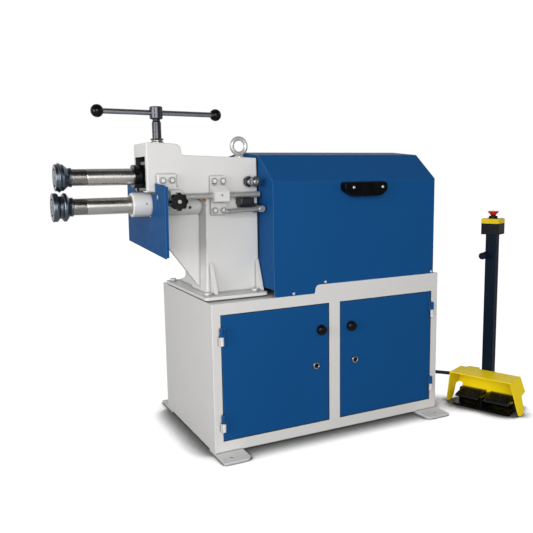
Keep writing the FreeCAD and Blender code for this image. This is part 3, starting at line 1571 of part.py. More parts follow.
def make_cover():
    """The folded cover over the drive, with its pull and its screws."""
    shell = yz_plate(cover_profile(0), cover_left, cover_right)
    inside = yz_plate(cover_profile(cover_sheet), cover_left + cover_sheet, cover_right - cover_sheet)
    shell = shell.cut(inside)
    under = xz_plate(top_line(0) + [(half_width, low_top - 60, 0), (-half_width, low_top - 60, 0)],
                     front - 10, back + 10)
    window = block(cover_left - 1, cover_left + cover_sheet + 1, frame_front + cheek_wall,
                   frame_back - cheek_wall, lower_axis - gear_teeth_outline()[1] - cover_window_margin,
                   upper_axis + gear_teeth_outline()[1] + cover_window_margin - 8)
    side_gap = block(cover_left - 1, cover_left + cover_sheet + 1, front + cover_sheet, back - cover_sheet,
                     low_top - 1, cover_side_bottom)
    corner = block(cover_left - 1, cover_left + cover_corner, front - 1, back + 1,
                   low_top - 1, low_top + cover_corner)
    corner = corner.cut(y_rod(front - 2, back + 2, cover_left + cover_corner, low_top + cover_corner,
                              cover_corner))
    shell = shell.cut([under, window, side_gap, corner])
    screws = []
    for x in cover_screw_columns():
        z = cover_screw_height(x)
        for side, face in ((-1, front), (1, back)):
            shell = shell.cut(y_rod(face - 3, face + 3, x, z, screw_radius + turning_fit))
            screws.append(panel_screw(x, face, z, side, cover_sheet))
    write("drive_cover", shell)
    for x, z in rear_screw_places():
        screws.append(panel_screw(x, back + rear_sheet, z, 1, rear_sheet + sheet))
    write("panel_screws", *screws)

    outer = xz_plate([
        (pull_left, pull_top, pull_corner * 0.5),
        (pull_right, pull_top, pull_corner * 0.8),
        (pull_right, pull_top - pull_height * 0.62, pull_corner),
        (pull_right - 24, pull_top - pull_height, pull_corner * 0.6),
        (pull_left + 36, pull_top - pull_height, pull_corner * 0.8),
        (pull_left, pull_top - pull_height * 0.58, pull_corner * 0.8),
    ], front - pull_depth, front)
    outer = rounded_edges(outer, pull_edge,
                          lambda edge: abs(edge.CenterOfMass.y - front + pull_depth) < 0.01)
    pocket = block(pull_left + 40, pull_right - 28, front - pull_depth + pull_wall, front - pull_wall,
                   pull_top - pull_height - 1, pull_top - 8)
    write("cover_pull", outer.cut(pocket))


def cover_screw_columns():
    """The places along X of the screws at the cover's lower edge."""
    return (cover_left + cover_screw_from_left, step_start + step_run + cover_screw_from_step,
            cover_right - cover_screw_inset)


def cover_screw_height(x):
    """The height of a screw above the cabinet's stepped top."""
    return (low_top if x < step_start else raised_top) + cover_screw_rise


def panel_screw(x, face, z, side, grip):
    """A pan-head screw in a sheet, its head outside."""
    head = z_turned([
        (0, screw_head_radius),
        (screw_head_height * 0.6, screw_head_radius * 0.85),
        (screw_head_height, screw_head_radius * 0.45),
    ], 0, 0)
    head.Placement = FreeCAD.Placement(FreeCAD.Vector(x, face, z),
                                       FreeCAD.Rotation(FreeCAD.Vector(1, 0, 0), -90 * side))
    inner = face - side * (grip + screw_grip / 2)
    shank = y_rod(min(face, inner), max(face, inner), x, z, screw_radius)
    return join(head, shank)


def make_drive():
    """The gear motor that drives the lower shaft."""
    right = reducer_left + reducer_length
    housing = block(reducer_left, right, axis_y - reducer_half_width, axis_y + reducer_half_width,
                    lower_axis - reducer_half_height, lower_axis + reducer_half_height * 0.8)
    housing = rounded_edges(housing, reducer_edge,
                            lambda edge: abs(edge.tangentAt(edge.FirstParameter).x) > 0.99)
    flange = x_rod(reducer_left - reducer_flange_length, reducer_left + 1, axis_y, lower_axis,
                   reducer_flange_radius)
    housing = housing.fuse(flange)
    bore = x_rod(reducer_left - reducer_flange_length - 1, lower_shaft_end + 5, axis_y, lower_axis,
                 tail_radius + reducer_bore_gap)
    write("gear_reducer", housing.cut(bore).removeSplitter())

    motor_end = right + motor_length
    body = x_rod(right, motor_end, axis_y, lower_axis, motor_radius)
    pieces = []
    for index in range(motor_rib_count):
        angle = 360 * index / motor_rib_count
        rib = block(right + motor_rib_inset, motor_end - motor_rib_inset, axis_y - motor_rib_width / 2,
                    axis_y + motor_rib_width / 2, lower_axis + motor_radius - 3,
                    lower_axis + motor_radius + motor_rib_height)
        rib.rotate(FreeCAD.Vector(0, axis_y, lower_axis), FreeCAD.Vector(1, 0, 0), angle)
        pieces.append(rib)
    cowl = x_rod(motor_end - 1, motor_end + cowl_length, axis_y, lower_axis,
                 motor_radius + motor_rib_height)
    cowl = rounded_edges(cowl, cowl_edge,
                         lambda edge: abs(edge.CenterOfMass.x - motor_end - cowl_length) < 0.01)
    box_left = right + motor_length / 2 - terminal_box_length / 2
    box = block(box_left, box_left + terminal_box_length, axis_y - terminal_box_width / 2,
                axis_y + terminal_box_width / 2, lower_axis + motor_radius - 8,
                lower_axis + motor_radius + terminal_box_height)
    write("drive_motor", join(body, *pieces, cowl, box))


def make_control_box():
    """The control box on the back wall of the right-hand compartment."""
    left = control_box_centre_x - control_box_width / 2
    right = control_box_centre_x + control_box_width / 2
    top = control_box_bottom + control_box_height
    y_back = back - sheet - control_standoff
    y_front = y_back - control_box_depth
    box = block(left, right, y_front, y_back, control_box_bottom, top)
    box = rounded_edges(box, control_box_edge, upright)
    lid = block(left - 3, right + 3, y_front - control_lid_depth, y_front, control_box_bottom - 3, top + 3)
    lid = rounded_edges(lid, control_box_edge * 0.8, upright)
    rails = []
    rail_bottom = rear_window()[1] + rear_overlap
    rail_top = rear_window()[2] - rear_overlap
    for x in (left + control_rail_inset, right - control_rail_inset):
        rails.append(block(x - control_rail_width / 2, x + control_rail_width / 2,
                           back - sheet - control_rail_sheet,
                           back - sheet, rail_bottom, rail_top))
        for z in (control_box_bottom + control_rail_inset, top - control_rail_inset):
            rails.append(y_rod(y_back - 1, back - sheet - 1, x, z, 9))
    write("control_box", join(box, lid, *rails))


def station_point(x, y, z):
    """A point of the pedal station's own axes, placed on the floor beside the machine."""
    turn = FreeCAD.Rotation(FreeCAD.Vector(0, 0, 1), station_turn)
    return FreeCAD.Vector(station_x, station_y, 0) + turn.multVec(FreeCAD.Vector(x, y, z))


def stand(shape):
    """The shape moved from the pedal station's own axes to its place."""
    result = shape.copy()
    turn = FreeCAD.Rotation(FreeCAD.Vector(0, 0, 1), station_turn)
    result.Placement = FreeCAD.Placement(FreeCAD.Vector(station_x, station_y, 0),
                                         turn).multiply(shape.Placement)
    return result


def treadle_span(side):
    """The two ends of a treadle in the station's X."""
    inner = side * treadle_half_gap
    outer = side * treadle_outer
    return min(inner, outer), max(inner, outer)


def make_pedal_base():
    """The pedal base: floor pan, rear body, side ears, divider and the cable's entry."""
    floor = xy_plate([
        (-pedal_base_half, pedal_base_front, pedal_base_corner),
        (pedal_base_half, pedal_base_front, pedal_base_corner),
        (pedal_base_half, pedal_base_back, pedal_base_corner),
        (-pedal_base_half, pedal_base_back, pedal_base_corner),
    ], 0, pedal_base_floor)
    rear = block(-pedal_base_half + 4, pedal_base_half - 4, guard_back, pedal_base_back - 4,
                 pedal_base_floor - 1, pedal_base_rear_height)
    rear = rounded_edges(rear, 6, lambda edge: upright(edge) and edge.CenterOfMass.y > guard_back + 1)
    divider = block(-divider_half, divider_half, pedal_base_front + 8, guard_back - guard_sheet,
                    pedal_base_floor - 1, divider_height)
    ears = []
    for x0 in (-pedal_base_half, treadle_outer + treadle_lug_gap):
        x1 = x0 + pedal_base_half - treadle_outer - treadle_lug_gap
        ears.append(yz_plate([
            (treadle_pivot_y - 14, pedal_base_floor - 1, 0),
            (guard_back - guard_sheet, pedal_base_floor - 1, 0),
            (guard_back - guard_sheet, treadle_pivot_z + 9, 3),
            (treadle_pivot_y - 9, treadle_pivot_z + 9, 6),
        ], x0, x1))
    pin = x_rod(-pedal_base_half + 2, pedal_base_half - 2, treadle_pivot_y, treadle_pivot_z,
                treadle_pin_radius)
    entry = y_rod(pedal_base_back - 6, pedal_base_back + entry_length, entry_shift, entry_height,
                  entry_radius)
    entry = entry.makeChamfer(3, [edge for edge in entry.Edges
                                  if abs(edge.CenterOfMass.y - pedal_base_back - entry_length) < 0.01])
    base = join(floor, rear, divider, *ears, pin, entry)
    write("pedal_base", stand(base))


def make_treadles():
    """The two treadles on the base's pin, ribbed on top."""
    for side, name in ((-1, "treadle_left"), (1, "treadle_right")):
        x0, x1 = treadle_span(side)
        plate = yz_plate([
            (treadle_front, treadle_front_height - treadle_thickness, 2),
            (treadle_pivot_y, treadle_back_height - treadle_thickness - 4, 0),
            (treadle_pivot_y + treadle_barrel_radius, treadle_pivot_z, 0),
            (treadle_pivot_y + treadle_barrel_radius, treadle_back_height - 4, 3),
            (treadle_front, treadle_front_height, 3),
        ], x0, x1)
        barrel = x_rod(x0, x1, treadle_pivot_y, treadle_pivot_z, treadle_barrel_radius)
        body = plate.fuse(barrel)
        slope = (treadle_back_height - treadle_front_height) / (treadle_pivot_y - treadle_front)
        for index in range(5):
            y = treadle_front + 9 + index * 9
            z = treadle_front_height + slope * (y - treadle_front) * 0.86
            body = body.fuse(x_rod(x0 + 8, x1 - 8, y, z - 1, 2))
        body = body.cut(x_rod(x0 - 1, x1 + 1, treadle_pivot_y, treadle_pivot_z,
                              treadle_pin_radius + treadle_pin_fit))
        write(name, stand(body.removeSplitter()))


def guard_lean():
    """The angle by which the guard's sides lean outward."""
    return math.atan2(guard_foot_half - guard_top_half, guard_top)


def guard_side(side):
    """One side of the guard, with its rear wing and rounded foot, leaning out from the top sheet's edge."""
    lean = guard_lean()
    foot = guard_top - (guard_top - guard_sheet * math.sin(lean)) / math.cos(lean)
    outer = side * guard_top_half
    inner = side * (guard_top_half - guard_sheet)
    plate = yz_plate([
        (guard_front, guard_top, 0),
        (guard_leg_front, foot, guard_leg_radius),
        (guard_leg_back, foot, guard_leg_radius),
        (guard_leg_back, guard_wing_bottom, 4),
        (guard_wing_back, guard_wing_bottom + 4, 3),
        (guard_back, guard_top, 0),
    ], min(outer, inner), max(outer, inner))
    plate.rotate(FreeCAD.Vector(outer, 0, guard_top), FreeCAD.Vector(0, 1, 0), -side * math.degrees(lean))
    return plate


def make_guard():
    """The yellow guard: top sheet, rear sheet and two splayed sides that reach the floor."""
    top = xy_plate([
        (-guard_top_half, guard_front, 0),
        (guard_top_half, guard_front, 0),
        (guard_top_half, guard_back, 0),
        (-guard_top_half, guard_back, 0),
    ], guard_top - guard_sheet, guard_top)
    wing_half = guard_top_half + (guard_top - guard_wing_bottom) * math.tan(guard_lean()) - guard_sheet / 2
    rear = xz_plate([
        (-guard_top_half + guard_sheet / 2, guard_top, 0),
        (guard_top_half - guard_sheet / 2, guard_top, 0),
        (wing_half, guard_wing_bottom + 4, 0),
        (guard_rear_half, guard_wing_bottom + 4, 0),
        (guard_rear_half, guard_rear_bottom, 0),
        (-guard_rear_half, guard_rear_bottom, 0),
        (-guard_rear_half, guard_wing_bottom + 4, 0),
        (-wing_half, guard_wing_bottom + 4, 0),
    ], guard_back - guard_sheet, guard_back)
    tab = xy_plate([
        (guard_tab_middle - guard_tab_half, guard_back - 1, 0),
        (guard_tab_middle + guard_tab_half, guard_back - 1, 0),
        (guard_tab_middle + guard_tab_half - 4, guard_back + guard_tab_length, 3),
        (guard_tab_middle - guard_tab_half + 4, guard_back + guard_tab_length, 3),
    ], guard_top - guard_sheet, guard_top)
    guard = top.fuse([rear, tab, guard_side(-1), guard_side(1)])
    write("pedal_guard", stand(guard.removeSplitter()))


def make_post():
    """The square post behind the pedals with its foot flange and the gland on its front."""
    foot = block(post_x - post_foot_half_x, post_x + post_foot_half_x, post_y - 24,
                 post_y + post_foot_half_y,
                 pedal_base_rear_height, pedal_base_rear_height + post_foot_thickness)
    half = post_size / 2
    tube = block(post_x - half, post_x + half, post_y - half, post_y + half,
                 pedal_base_rear_height + 1, post_top)
    tube = rounded_edges(tube, post_edge, upright)
    inside = half - post_wall
    hollow = block(post_x - inside, post_x + inside, post_y - inside, post_y + inside,
                   pedal_base_rear_height + 10, post_top + 1)
    face = post_y - half
    tip = face - post_gland_length
    gland_middle = post_x + post_gland_shift
    gland = y_rod(tip, face + 1, gland_middle, post_gland_height, post_gland_radius)
    gland = gland.makeChamfer(2, [edge for edge in gland.Edges if abs(edge.CenterOfMass.y - tip) < 0.01])
    gland = gland.cut(y_rod(tip - 1, tip + post_gland_recess, gland_middle, post_gland_height,
                            post_gland_radius - post_gland_ring))
    collar = y_rod(face - 6, face + 1, gland_middle, post_gland_height, post_gland_radius + 2)
    post = join(foot, tube).cut(hollow)
    write("pedal_post", stand(join(post, gland, collar)))


def make_stop_button():
    """The emergency stop: its box, lid, plunger and mushroom button."""
    half = estop_size / 2
    box = block(post_x - half, post_x + half, post_y - half, post_y + half,
                post_top, post_top + estop_box_height)
    box = rounded_edges(box, estop_edge, upright)
    write("estop_box", stand(box))
    lid_bottom = post_top + estop_box_height
    lid_top = lid_bottom + estop_lid_height
    lid = block(post_x - half, post_x + half, post_y - half, post_y + half, lid_bottom, lid_top)
    lid = rounded_edges(lid, estop_edge, upright)
    lid = rounded_edges(lid, 2, lambda edge: abs(edge.CenterOfMass.z - lid_top) < 0.01)
    bezel = z_rod(lid_top - 1, lid_top + estop_bezel_height, post_x, post_y, estop_bezel_radius)
    lid = lid.fuse(bezel)
    lid = lid.cut(z_rod(lid_top - estop_stem_depth - estop_travel_gap, lid_top + estop_bezel_height + 1,
                        post_x, post_y, estop_stem_radius + estop_stem_gap))
    write("estop_lid", stand(lid.removeSplitter()))
    button_bottom = lid_top + estop_bezel_height + estop_travel_gap
    stem = z_rod(lid_top - estop_stem_depth, button_bottom + 4, post_x, post_y, estop_stem_radius)
    write("estop_plunger", stand(stem))
    button = z_turned([
        (button_bottom, estop_stem_radius + 2.5),
        (button_bottom + estop_mushroom_height * 0.25, estop_mushroom_radius * 0.67),
        (button_bottom + estop_mushroom_height * 0.7, estop_mushroom_radius * 0.95),
        (button_bottom + estop_mushroom_height * 0.82, estop_mushroom_radius),
        (button_bottom + estop_mushroom_height * 0.94, estop_mushroom_radius * 0.96),
        (button_bottom + estop_mushroom_height, estop_mushroom_radius * 0.82),
    ], post_x, post_y)
    button = button.cut(z_rod(button_bottom - 1, button_bottom + 4, post_x, post_y,
                              estop_stem_radius + running_fit))
    write("estop_button", stand(button))


def cable_route():
    """The cable's route, as points chosen along the floor from the rear wall to the pedal base."""
    gland_tip = back + gland_collar + gland_dome
    entry = station_point(entry_shift, pedal_base_back + entry_length, entry_height)
    before_entry = station_point(entry_shift, pedal_base_back + entry_length + 46, entry_height)
    floor = cable_radius
    return [
        FreeCAD.Vector(gland_x, gland_tip, gland_z),
        FreeCAD.Vector(gland_x, gland_tip + 46, gland_z),
        FreeCAD.Vector(gland_x + 7, gland_tip + 94, gland_z - 16),
        FreeCAD.Vector(gland_x + 28, gland_tip + 138, gland_z - 40),
        FreeCAD.Vector(gland_x + 72, gland_tip + 167, floor),
        FreeCAD.Vector(gland_x + 128, gland_tip + 160, floor),
        FreeCAD.Vector(486, 392, floor),
        FreeCAD.Vector(530, 340, floor),
        FreeCAD.Vector(570, 280, floor),
        FreeCAD.Vector(618, 222, floor),
        FreeCAD.Vector(674, 164, floor),
        FreeCAD.Vector(732, 98, floor),
        FreeCAD.Vector(790, 36, floor),
        FreeCAD.Vector(828, -34, floor),
        FreeCAD.Vector(836, -104, floor),
        before_entry + FreeCAD.Vector(36, 38, floor - entry_height),
        before_entry,
        entry,
    ]


def tube_along(points, radius):
    """A tube along straight runs joined by tangent arcs, and the arcs' radii."""
    edges = []
    radii = []
    start = points[0]
    for index in range(1, len(points) - 1):
        here = points[index]
        before = points[index - 1]
        after = points[index + 1]
        to_before = (before - here).normalize()
        to_after = (after - here).normalize()
        turn = math.pi - to_before.getAngle(to_after)
        shorter = min(before.distanceToPoint(here), after.distanceToPoint(here))
        reach = 0.45 * shorter
        arc_radius = reach / math.tan(turn / 2)
        bisector = (to_before + to_after).normalize()
        centre = here + bisector * (arc_radius / math.cos(turn / 2))
        first = here + to_before * reach
        last = here + to_after * reach
        middle = centre - bisector * arc_radius
        edges.append(Part.LineSegment(start, first).toShape())
        edges.append(Part.Arc(first, middle, last).toShape())
        radii.append(round(arc_radius, 1))
        start = last
    edges.append(Part.LineSegment(start, points[-1]).toShape())
    path = Part.Wire(edges)
    direction = (points[1] - points[0]).normalize()
    circle = Part.Wire(Part.Circle(points[0], direction, radius).toShape())
    tube = path.makePipeShell([circle], True, False)
    section = math.pi * radius ** 2 * path.Length
    return tube, radii, path.Length, tube.Volume / section


def make_cable():
    """The pedal station's cable and the gland where it leaves the cabinet."""
    gland = y_rod(back - sheet - gland_nut, back + 1, gland_x, gland_z, gland_radius * 0.66)
    nut = hexagon(gland_radius * 1.8, gland_nut, FreeCAD.Vector(gland_x, back - sheet - gland_nut, gland_z),
                  FreeCAD.Vector(0, 1, 0))
    collar = hexagon(gland_radius * 1.9, gland_collar, FreeCAD.Vector(gland_x, back, gland_z),
                     FreeCAD.Vector(0, 1, 0))
    dome = Part.makeCone(gland_radius * 0.85, cable_radius + 2.5, gland_dome,
                         FreeCAD.Vector(gland_x, back + gland_collar, gland_z), FreeCAD.Vector(0, 1, 0))
    body = join(gland, nut, collar, dome)
    route = cable_route()
    tube, radii, length, share = tube_along(route, cable_radius)
    print("cable arc radii", radii)
    print("cable length", round(length, 1), "volume over section times length", round(share, 4))
    write("cable_gland", body.removeSplitter())
    write("pedal_cable", tube)


os.makedirs("parts", exist_ok=True)
make_cabinet()
make_rear_panel()
make_feet()
make_doors()
make_latches()
make_frame()
make_frame_foot()
make_frame_bolts()
make_lifting_eye()
make_gears()
make_shafts()
make_rolls()
make_bearing_tube()
make_frame_bushes()
make_arm()
make_trunnions()
make_feed()
make_stop()
make_clamp_lever()
make_cover()
make_drive()
make_control_box()
make_pedal_base()
make_treadles()
make_guard()
make_post()
make_stop_button()
make_cable()
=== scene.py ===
"""The looks of a motor-driven beading machine: its finishes, its small parts and its pedal cable.

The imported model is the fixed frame. Lengths are in metres, X runs along the cabinet's front, Y runs
to the back and Z is up, with the origin on the floor.
"""

import json
import logging
import math
from dataclasses import dataclass, field
from enum import Enum

import bmesh
import bpy
from mathutils import Matrix, Vector

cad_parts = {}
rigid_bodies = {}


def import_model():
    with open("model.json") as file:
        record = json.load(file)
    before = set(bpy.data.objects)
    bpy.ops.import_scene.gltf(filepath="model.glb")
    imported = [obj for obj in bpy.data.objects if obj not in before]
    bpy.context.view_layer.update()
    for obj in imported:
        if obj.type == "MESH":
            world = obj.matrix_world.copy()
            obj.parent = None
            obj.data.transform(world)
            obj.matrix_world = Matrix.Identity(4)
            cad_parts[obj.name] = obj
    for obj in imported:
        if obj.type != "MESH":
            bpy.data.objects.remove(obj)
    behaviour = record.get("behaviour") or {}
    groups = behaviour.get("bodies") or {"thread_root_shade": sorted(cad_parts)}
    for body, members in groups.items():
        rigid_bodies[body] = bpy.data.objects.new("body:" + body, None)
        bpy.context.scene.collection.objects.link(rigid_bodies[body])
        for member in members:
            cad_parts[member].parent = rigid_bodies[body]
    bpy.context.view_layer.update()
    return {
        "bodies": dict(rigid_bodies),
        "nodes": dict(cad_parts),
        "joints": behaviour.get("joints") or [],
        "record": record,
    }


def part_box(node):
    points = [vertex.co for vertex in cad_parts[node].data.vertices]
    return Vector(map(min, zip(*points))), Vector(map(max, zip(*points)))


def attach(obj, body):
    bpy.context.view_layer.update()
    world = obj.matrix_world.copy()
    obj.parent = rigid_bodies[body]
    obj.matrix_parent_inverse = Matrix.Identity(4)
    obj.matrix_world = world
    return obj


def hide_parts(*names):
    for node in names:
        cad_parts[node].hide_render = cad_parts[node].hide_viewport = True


LOG = logging.getLogger("beading_machine")
MM = 0.001

Triple = tuple[float, float, float]


CABLE_ROUTE: tuple[Triple, ...] = (
    (0.3180, 0.2660, 0.0620),
    (0.3180, 0.3120, 0.0620),
    (0.3250, 0.3600, 0.0460),
    (0.3460, 0.4040, 0.0220),
    (0.3900, 0.4330, 0.0060),
    (0.4460, 0.4260, 0.0060),
    (0.4860, 0.3920, 0.0060),
    (0.5300, 0.3400, 0.0060),
    (0.5700, 0.2800, 0.0060),
    (0.6180, 0.2220, 0.0060),
    (0.6740, 0.1640, 0.0060),
    (0.7320, 0.0980, 0.0060),
    (0.7900, 0.0360, 0.0060),
    (0.8280, -0.0340, 0.0060),
    (0.8360, -0.1040, 0.0060),
    (0.7818, -0.1670, 0.0060),
    (0.7458, -0.2050, 0.0190),
    (0.7035, -0.2230, 0.0190),
)


def linear(red: int, green: int, blue: int) -> tuple[float, float, float, float]:
    """Turns a colour as a screen shows it into the one a shader takes.

    Args:
        red: The red part, 0 to 255.
        green: The green part, 0 to 255.
        blue: The blue part, 0 to 255.

    Returns:
        The linear colour with an alpha of 1.
    """
    parts = []
    for value in (red, green, blue):
        share = value / 255.0
        if share <= 0.04045:
            parts.append(share / 12.92)
        else:
            parts.append(((share + 0.055) / 1.055) ** 2.4)
    return (parts[0], parts[1], parts[2], 1.0)


class Body(Enum):
    """The moving bodies that a piece can ride on."""

    MACHINE = "machine"
    DOOR_LEFT = "door_left"
    DOOR_RIGHT = "door_right"
    LATCH_LEFT = "latch_left"
    LATCH_RIGHT = "latch_right"
    LOCK_LEFT = "lock_left"
    LOCK_RIGHT = "lock_right"
    ARM = "arm"
    UPPER_SPINDLE = "upper_spindle"
    LOWER_SPINDLE = "lower_spindle"
    FEED_PAD = "feed_pad"
    FEED_HANDLE = "feed_handle"
    STOP = "stop"
    STAR_KNOB = "star_knob"
    CLAMP_LEVER = "clamp_lever"
    TREADLE_LEFT = "treadle_left"
    TREADLE_RIGHT = "treadle_right"
    ESTOP_PLUNGER = "estop_plunger"
    ESTOP_BUTTON = "estop_button"


class Axis(Enum):
    """The direction of a turned part's centre line."""

    X = 0
    Y = 1
    Z = 2


class ShaderSheet:
    """One material's node sheet, with short calls for the nodes that the finishes share."""

    def __init__(self, name: str) -> None:
        """Starts a sheet that holds one principled shader and its output.

        Args:
            name: The material's name.
        """
        self.material = bpy.data.materials.new(name)
        self.material.use_nodes = True
        self.nodes = self.material.node_tree.nodes
        self.links = self.material.node_tree.links
        self.nodes.clear()
        self.shader = self.nodes.new("ShaderNodeBsdfPrincipled")
        output = self.nodes.new("ShaderNodeOutputMaterial")
        self.links.new(self.shader.outputs["BSDF"], output.inputs["Surface"])

    def place(self, centre: Triple = (0, 0, 0), scale: Triple = (1, 1, 1)) -> bpy.types.NodeSocket:
        """Gives object coordinates, centred on a point and scaled.

        Args:
            centre: The point that becomes the origin.
            scale: The factor on each axis.

        Returns:
            The vector output.
        """
        source = self.nodes.new("ShaderNodeTexCoord")
        shift = self.nodes.new("ShaderNodeVectorMath")
        shift.operation = "SUBTRACT"
        shift.inputs[1].default_value = centre
        self.links.new(source.outputs["Object"], shift.inputs[0])
        stretch = self.nodes.new("ShaderNodeVectorMath")
        stretch.operation = "MULTIPLY"
        stretch.inputs[1].default_value = scale
        self.links.new(shift.outputs[0], stretch.inputs[0])
        return stretch.outputs[0]

    def noise(self, vector: bpy.types.NodeSocket, scale: float, detail: float = 3.0,
              roughness: float = 0.5) -> bpy.types.NodeSocket:
        """Gives a soft random value from 0 to 1.

        Args:
            vector: Where the pattern is read.
            scale: Cells in a metre.
            detail: How many finer layers it has.
            roughness: How strong the finer layers are.

        Returns:
            The value output.
        """
        node = self.nodes.new("ShaderNodeTexNoise")
        node.inputs["Scale"].default_value = scale
        node.inputs["Detail"].default_value = detail
        node.inputs["Roughness"].default_value = roughness
        self.links.new(vector, node.inputs["Vector"])
        return node.outputs["Fac"]

    def remap(self, value: bpy.types.NodeSocket, low: float, high: float, to_low: float = 0.0,
              to_high: float = 1.0) -> bpy.types.NodeSocket:
        """Spreads a value over another range and clips it there.

        Args:
            value: The value to spread.
            low: The value that gives to_low.
            high: The value that gives to_high.
            to_low: The first end of the result.
            to_high: The second end of the result.

        Returns:
            The value output.
        """
        node = self.nodes.new("ShaderNodeMapRange")
        node.inputs["From Min"].default_value = low
        node.inputs["From Max"].default_value = high
        node.inputs["To Min"].default_value = to_low
        node.inputs["To Max"].default_value = to_high
        self.links.new(value, node.inputs["Value"])
        return node.outputs["Result"]

    def maths(self, operation: str, first: bpy.types.NodeSocket,
              second: bpy.types.NodeSocket | float) -> bpy.types.NodeSocket:
        """Works out one value from two.

        Args:
            operation: The node's operation.
            first: The first value.
            second: The second value, as an output or a number.

        Returns:
            The value output.
        """
        node = self.nodes.new("ShaderNodeMath")
        node.operation = operation
        self.links.new(first, node.inputs[0])
        if isinstance(second, bpy.types.NodeSocket):
            self.links.new(second, node.inputs[1])
        else:
            node.inputs[1].default_value = second
        return node.outputs[0]

    def blend(self, mask: bpy.types.NodeSocket, first, second) -> bpy.types.NodeSocket:
        """Mixes two colours.

        Args:
            mask: 0 gives the first colour and 1 the second.
            first: A colour or an output.
            second: A colour or an output.

        Returns:
            The colour output.
        """
        node = self.nodes.new("ShaderNodeMix")
        node.data_type = "RGBA"
        self.links.new(mask, node.inputs["Factor"])
        for socket, value in ((node.inputs[6], first), (node.inputs[7], second)):
            if isinstance(value, bpy.types.NodeSocket):
                self.links.new(value, socket)
            else:
                socket.default_value = value
        return node.outputs[2]

    def edges(self, width: float) -> bpy.types.NodeSocket:
        """Gives 1 along sharp edges and 0 on flat faces.

        Args:
            width: How far from an edge the mask reaches.

        Returns:
            The value output.
        """
        rounded = self.nodes.new("ShaderNodeBevel")
        rounded.samples = 4
        rounded.inputs["Radius"].default_value = width
        surface = self.nodes.new("ShaderNodeNewGeometry")
        product = self.nodes.new("ShaderNodeVectorMath")
        product.operation = "DOT_PRODUCT"
        self.links.new(rounded.outputs[0], product.inputs[0])
        self.links.new(surface.outputs["Normal"], product.inputs[1])
        return self.remap(product.outputs["Value"], 0.995, 0.86)

    def crevice_shade(self, reach: float) -> bpy.types.NodeSocket:
        """Gives 1 deep in corners and joints and 0 on open faces, from ambient occlusion; it marks where shade is
        painted.

        Args:
            reach: How far from a corner the mask goes.

        Returns:
            The value output.
        """
        near = self.nodes.new("ShaderNodeAmbientOcclusion")
        near.samples = 6
        near.inputs["Distance"].default_value = reach
        return self.remap(near.outputs["AO"], 0.86, 0.42)

    def bump(self, height: bpy.types.NodeSocket, distance: float, strength: float = 1.0,
             softened: float = 0.0) -> None:
        """Raises the surface by a height pattern.

        Args:
            height: The pattern.
            distance: The height in metres of a value of 1.
            strength: How much of it shows.
            softened: The radius that edges are rounded by, or 0.
        """
        node = self.nodes.new("ShaderNodeBump")
        node.inputs["Strength"].default_value = strength
        node.inputs["Distance"].default_value = distance
        self.links.new(height, node.inputs["Height"])
        if softened > 0:
            rounded = self.nodes.new("ShaderNodeBevel")
            rounded.samples = 4
            rounded.inputs["Radius"].default_value = softened
            self.links.new(rounded.outputs[0], node.inputs["Normal"])
        self.links.new(node.outputs["Normal"], self.shader.inputs["Normal"])

    def feed(self, name: str, value: bpy.types.NodeSocket) -> None:
        """Links an output to one of the shader's inputs."""
        self.links.new(value, self.shader.inputs[name])

    def fix(self, name: str, value: float | tuple) -> None:
        """Sets one of the shader's inputs to a plain value."""
        self.shader.inputs[name].default_value = value


@dataclass(frozen=True)
class Enamel:
    """A sprayed and baked coat of paint on sheet steel."""

    name: str
    colour: tuple[float, float, float, float]
    edge: tuple[float, float, float, float]
    roughness: float = 0.36
    peel: float = 0.00003
    gloss: float = 0.5
    edge_width: float = 0.0011
    edge_share: float = 0.55
    corner_shade: float = 0.45

    def build(self) -> bpy.types.Material:
        """Makes the material.

        Returns:
            The material.
        """
        sheet = ShaderSheet(self.name)
        plain = sheet.place()
        cloud = sheet.remap(sheet.noise(plain, 7.0, 4.0), 0.35, 0.68, 0.0, 0.10)
        shaded = tuple(part * 0.80 for part in self.colour[:3]) + (1.0,)
        tinted = sheet.blend(cloud, self.colour, shaded)
        # Painted highlight along the edges, partly wear: the edge colour is mixed in where the bevel mask finds an
        # edge.
        edge_wear_and_light = sheet.maths("MULTIPLY", sheet.edges(self.edge_width), self.edge_share)
        bright = sheet.blend(edge_wear_and_light, tinted, self.edge)
        # Painted shade: corners and joints are darkened towards near black by ambient occlusion.
        corner_shade_share = sheet.maths("MULTIPLY", sheet.crevice_shade(0.007), self.corner_shade)
        sheet.feed("Base Color", sheet.blend(corner_shade_share, bright, (0.02, 0.02, 0.022, 1.0)))
        smudge = sheet.noise(plain, 38.0, 5.0, 0.6)
        sheet.feed("Roughness", sheet.remap(smudge, 0.3, 0.7, self.roughness - 0.05, self.roughness + 0.06))
        sheet.fix("Specular IOR Level", self.gloss)
        sheet.bump(sheet.noise(plain, 620.0, 2.0), self.peel, 0.6, 0.0009)
        return sheet.material


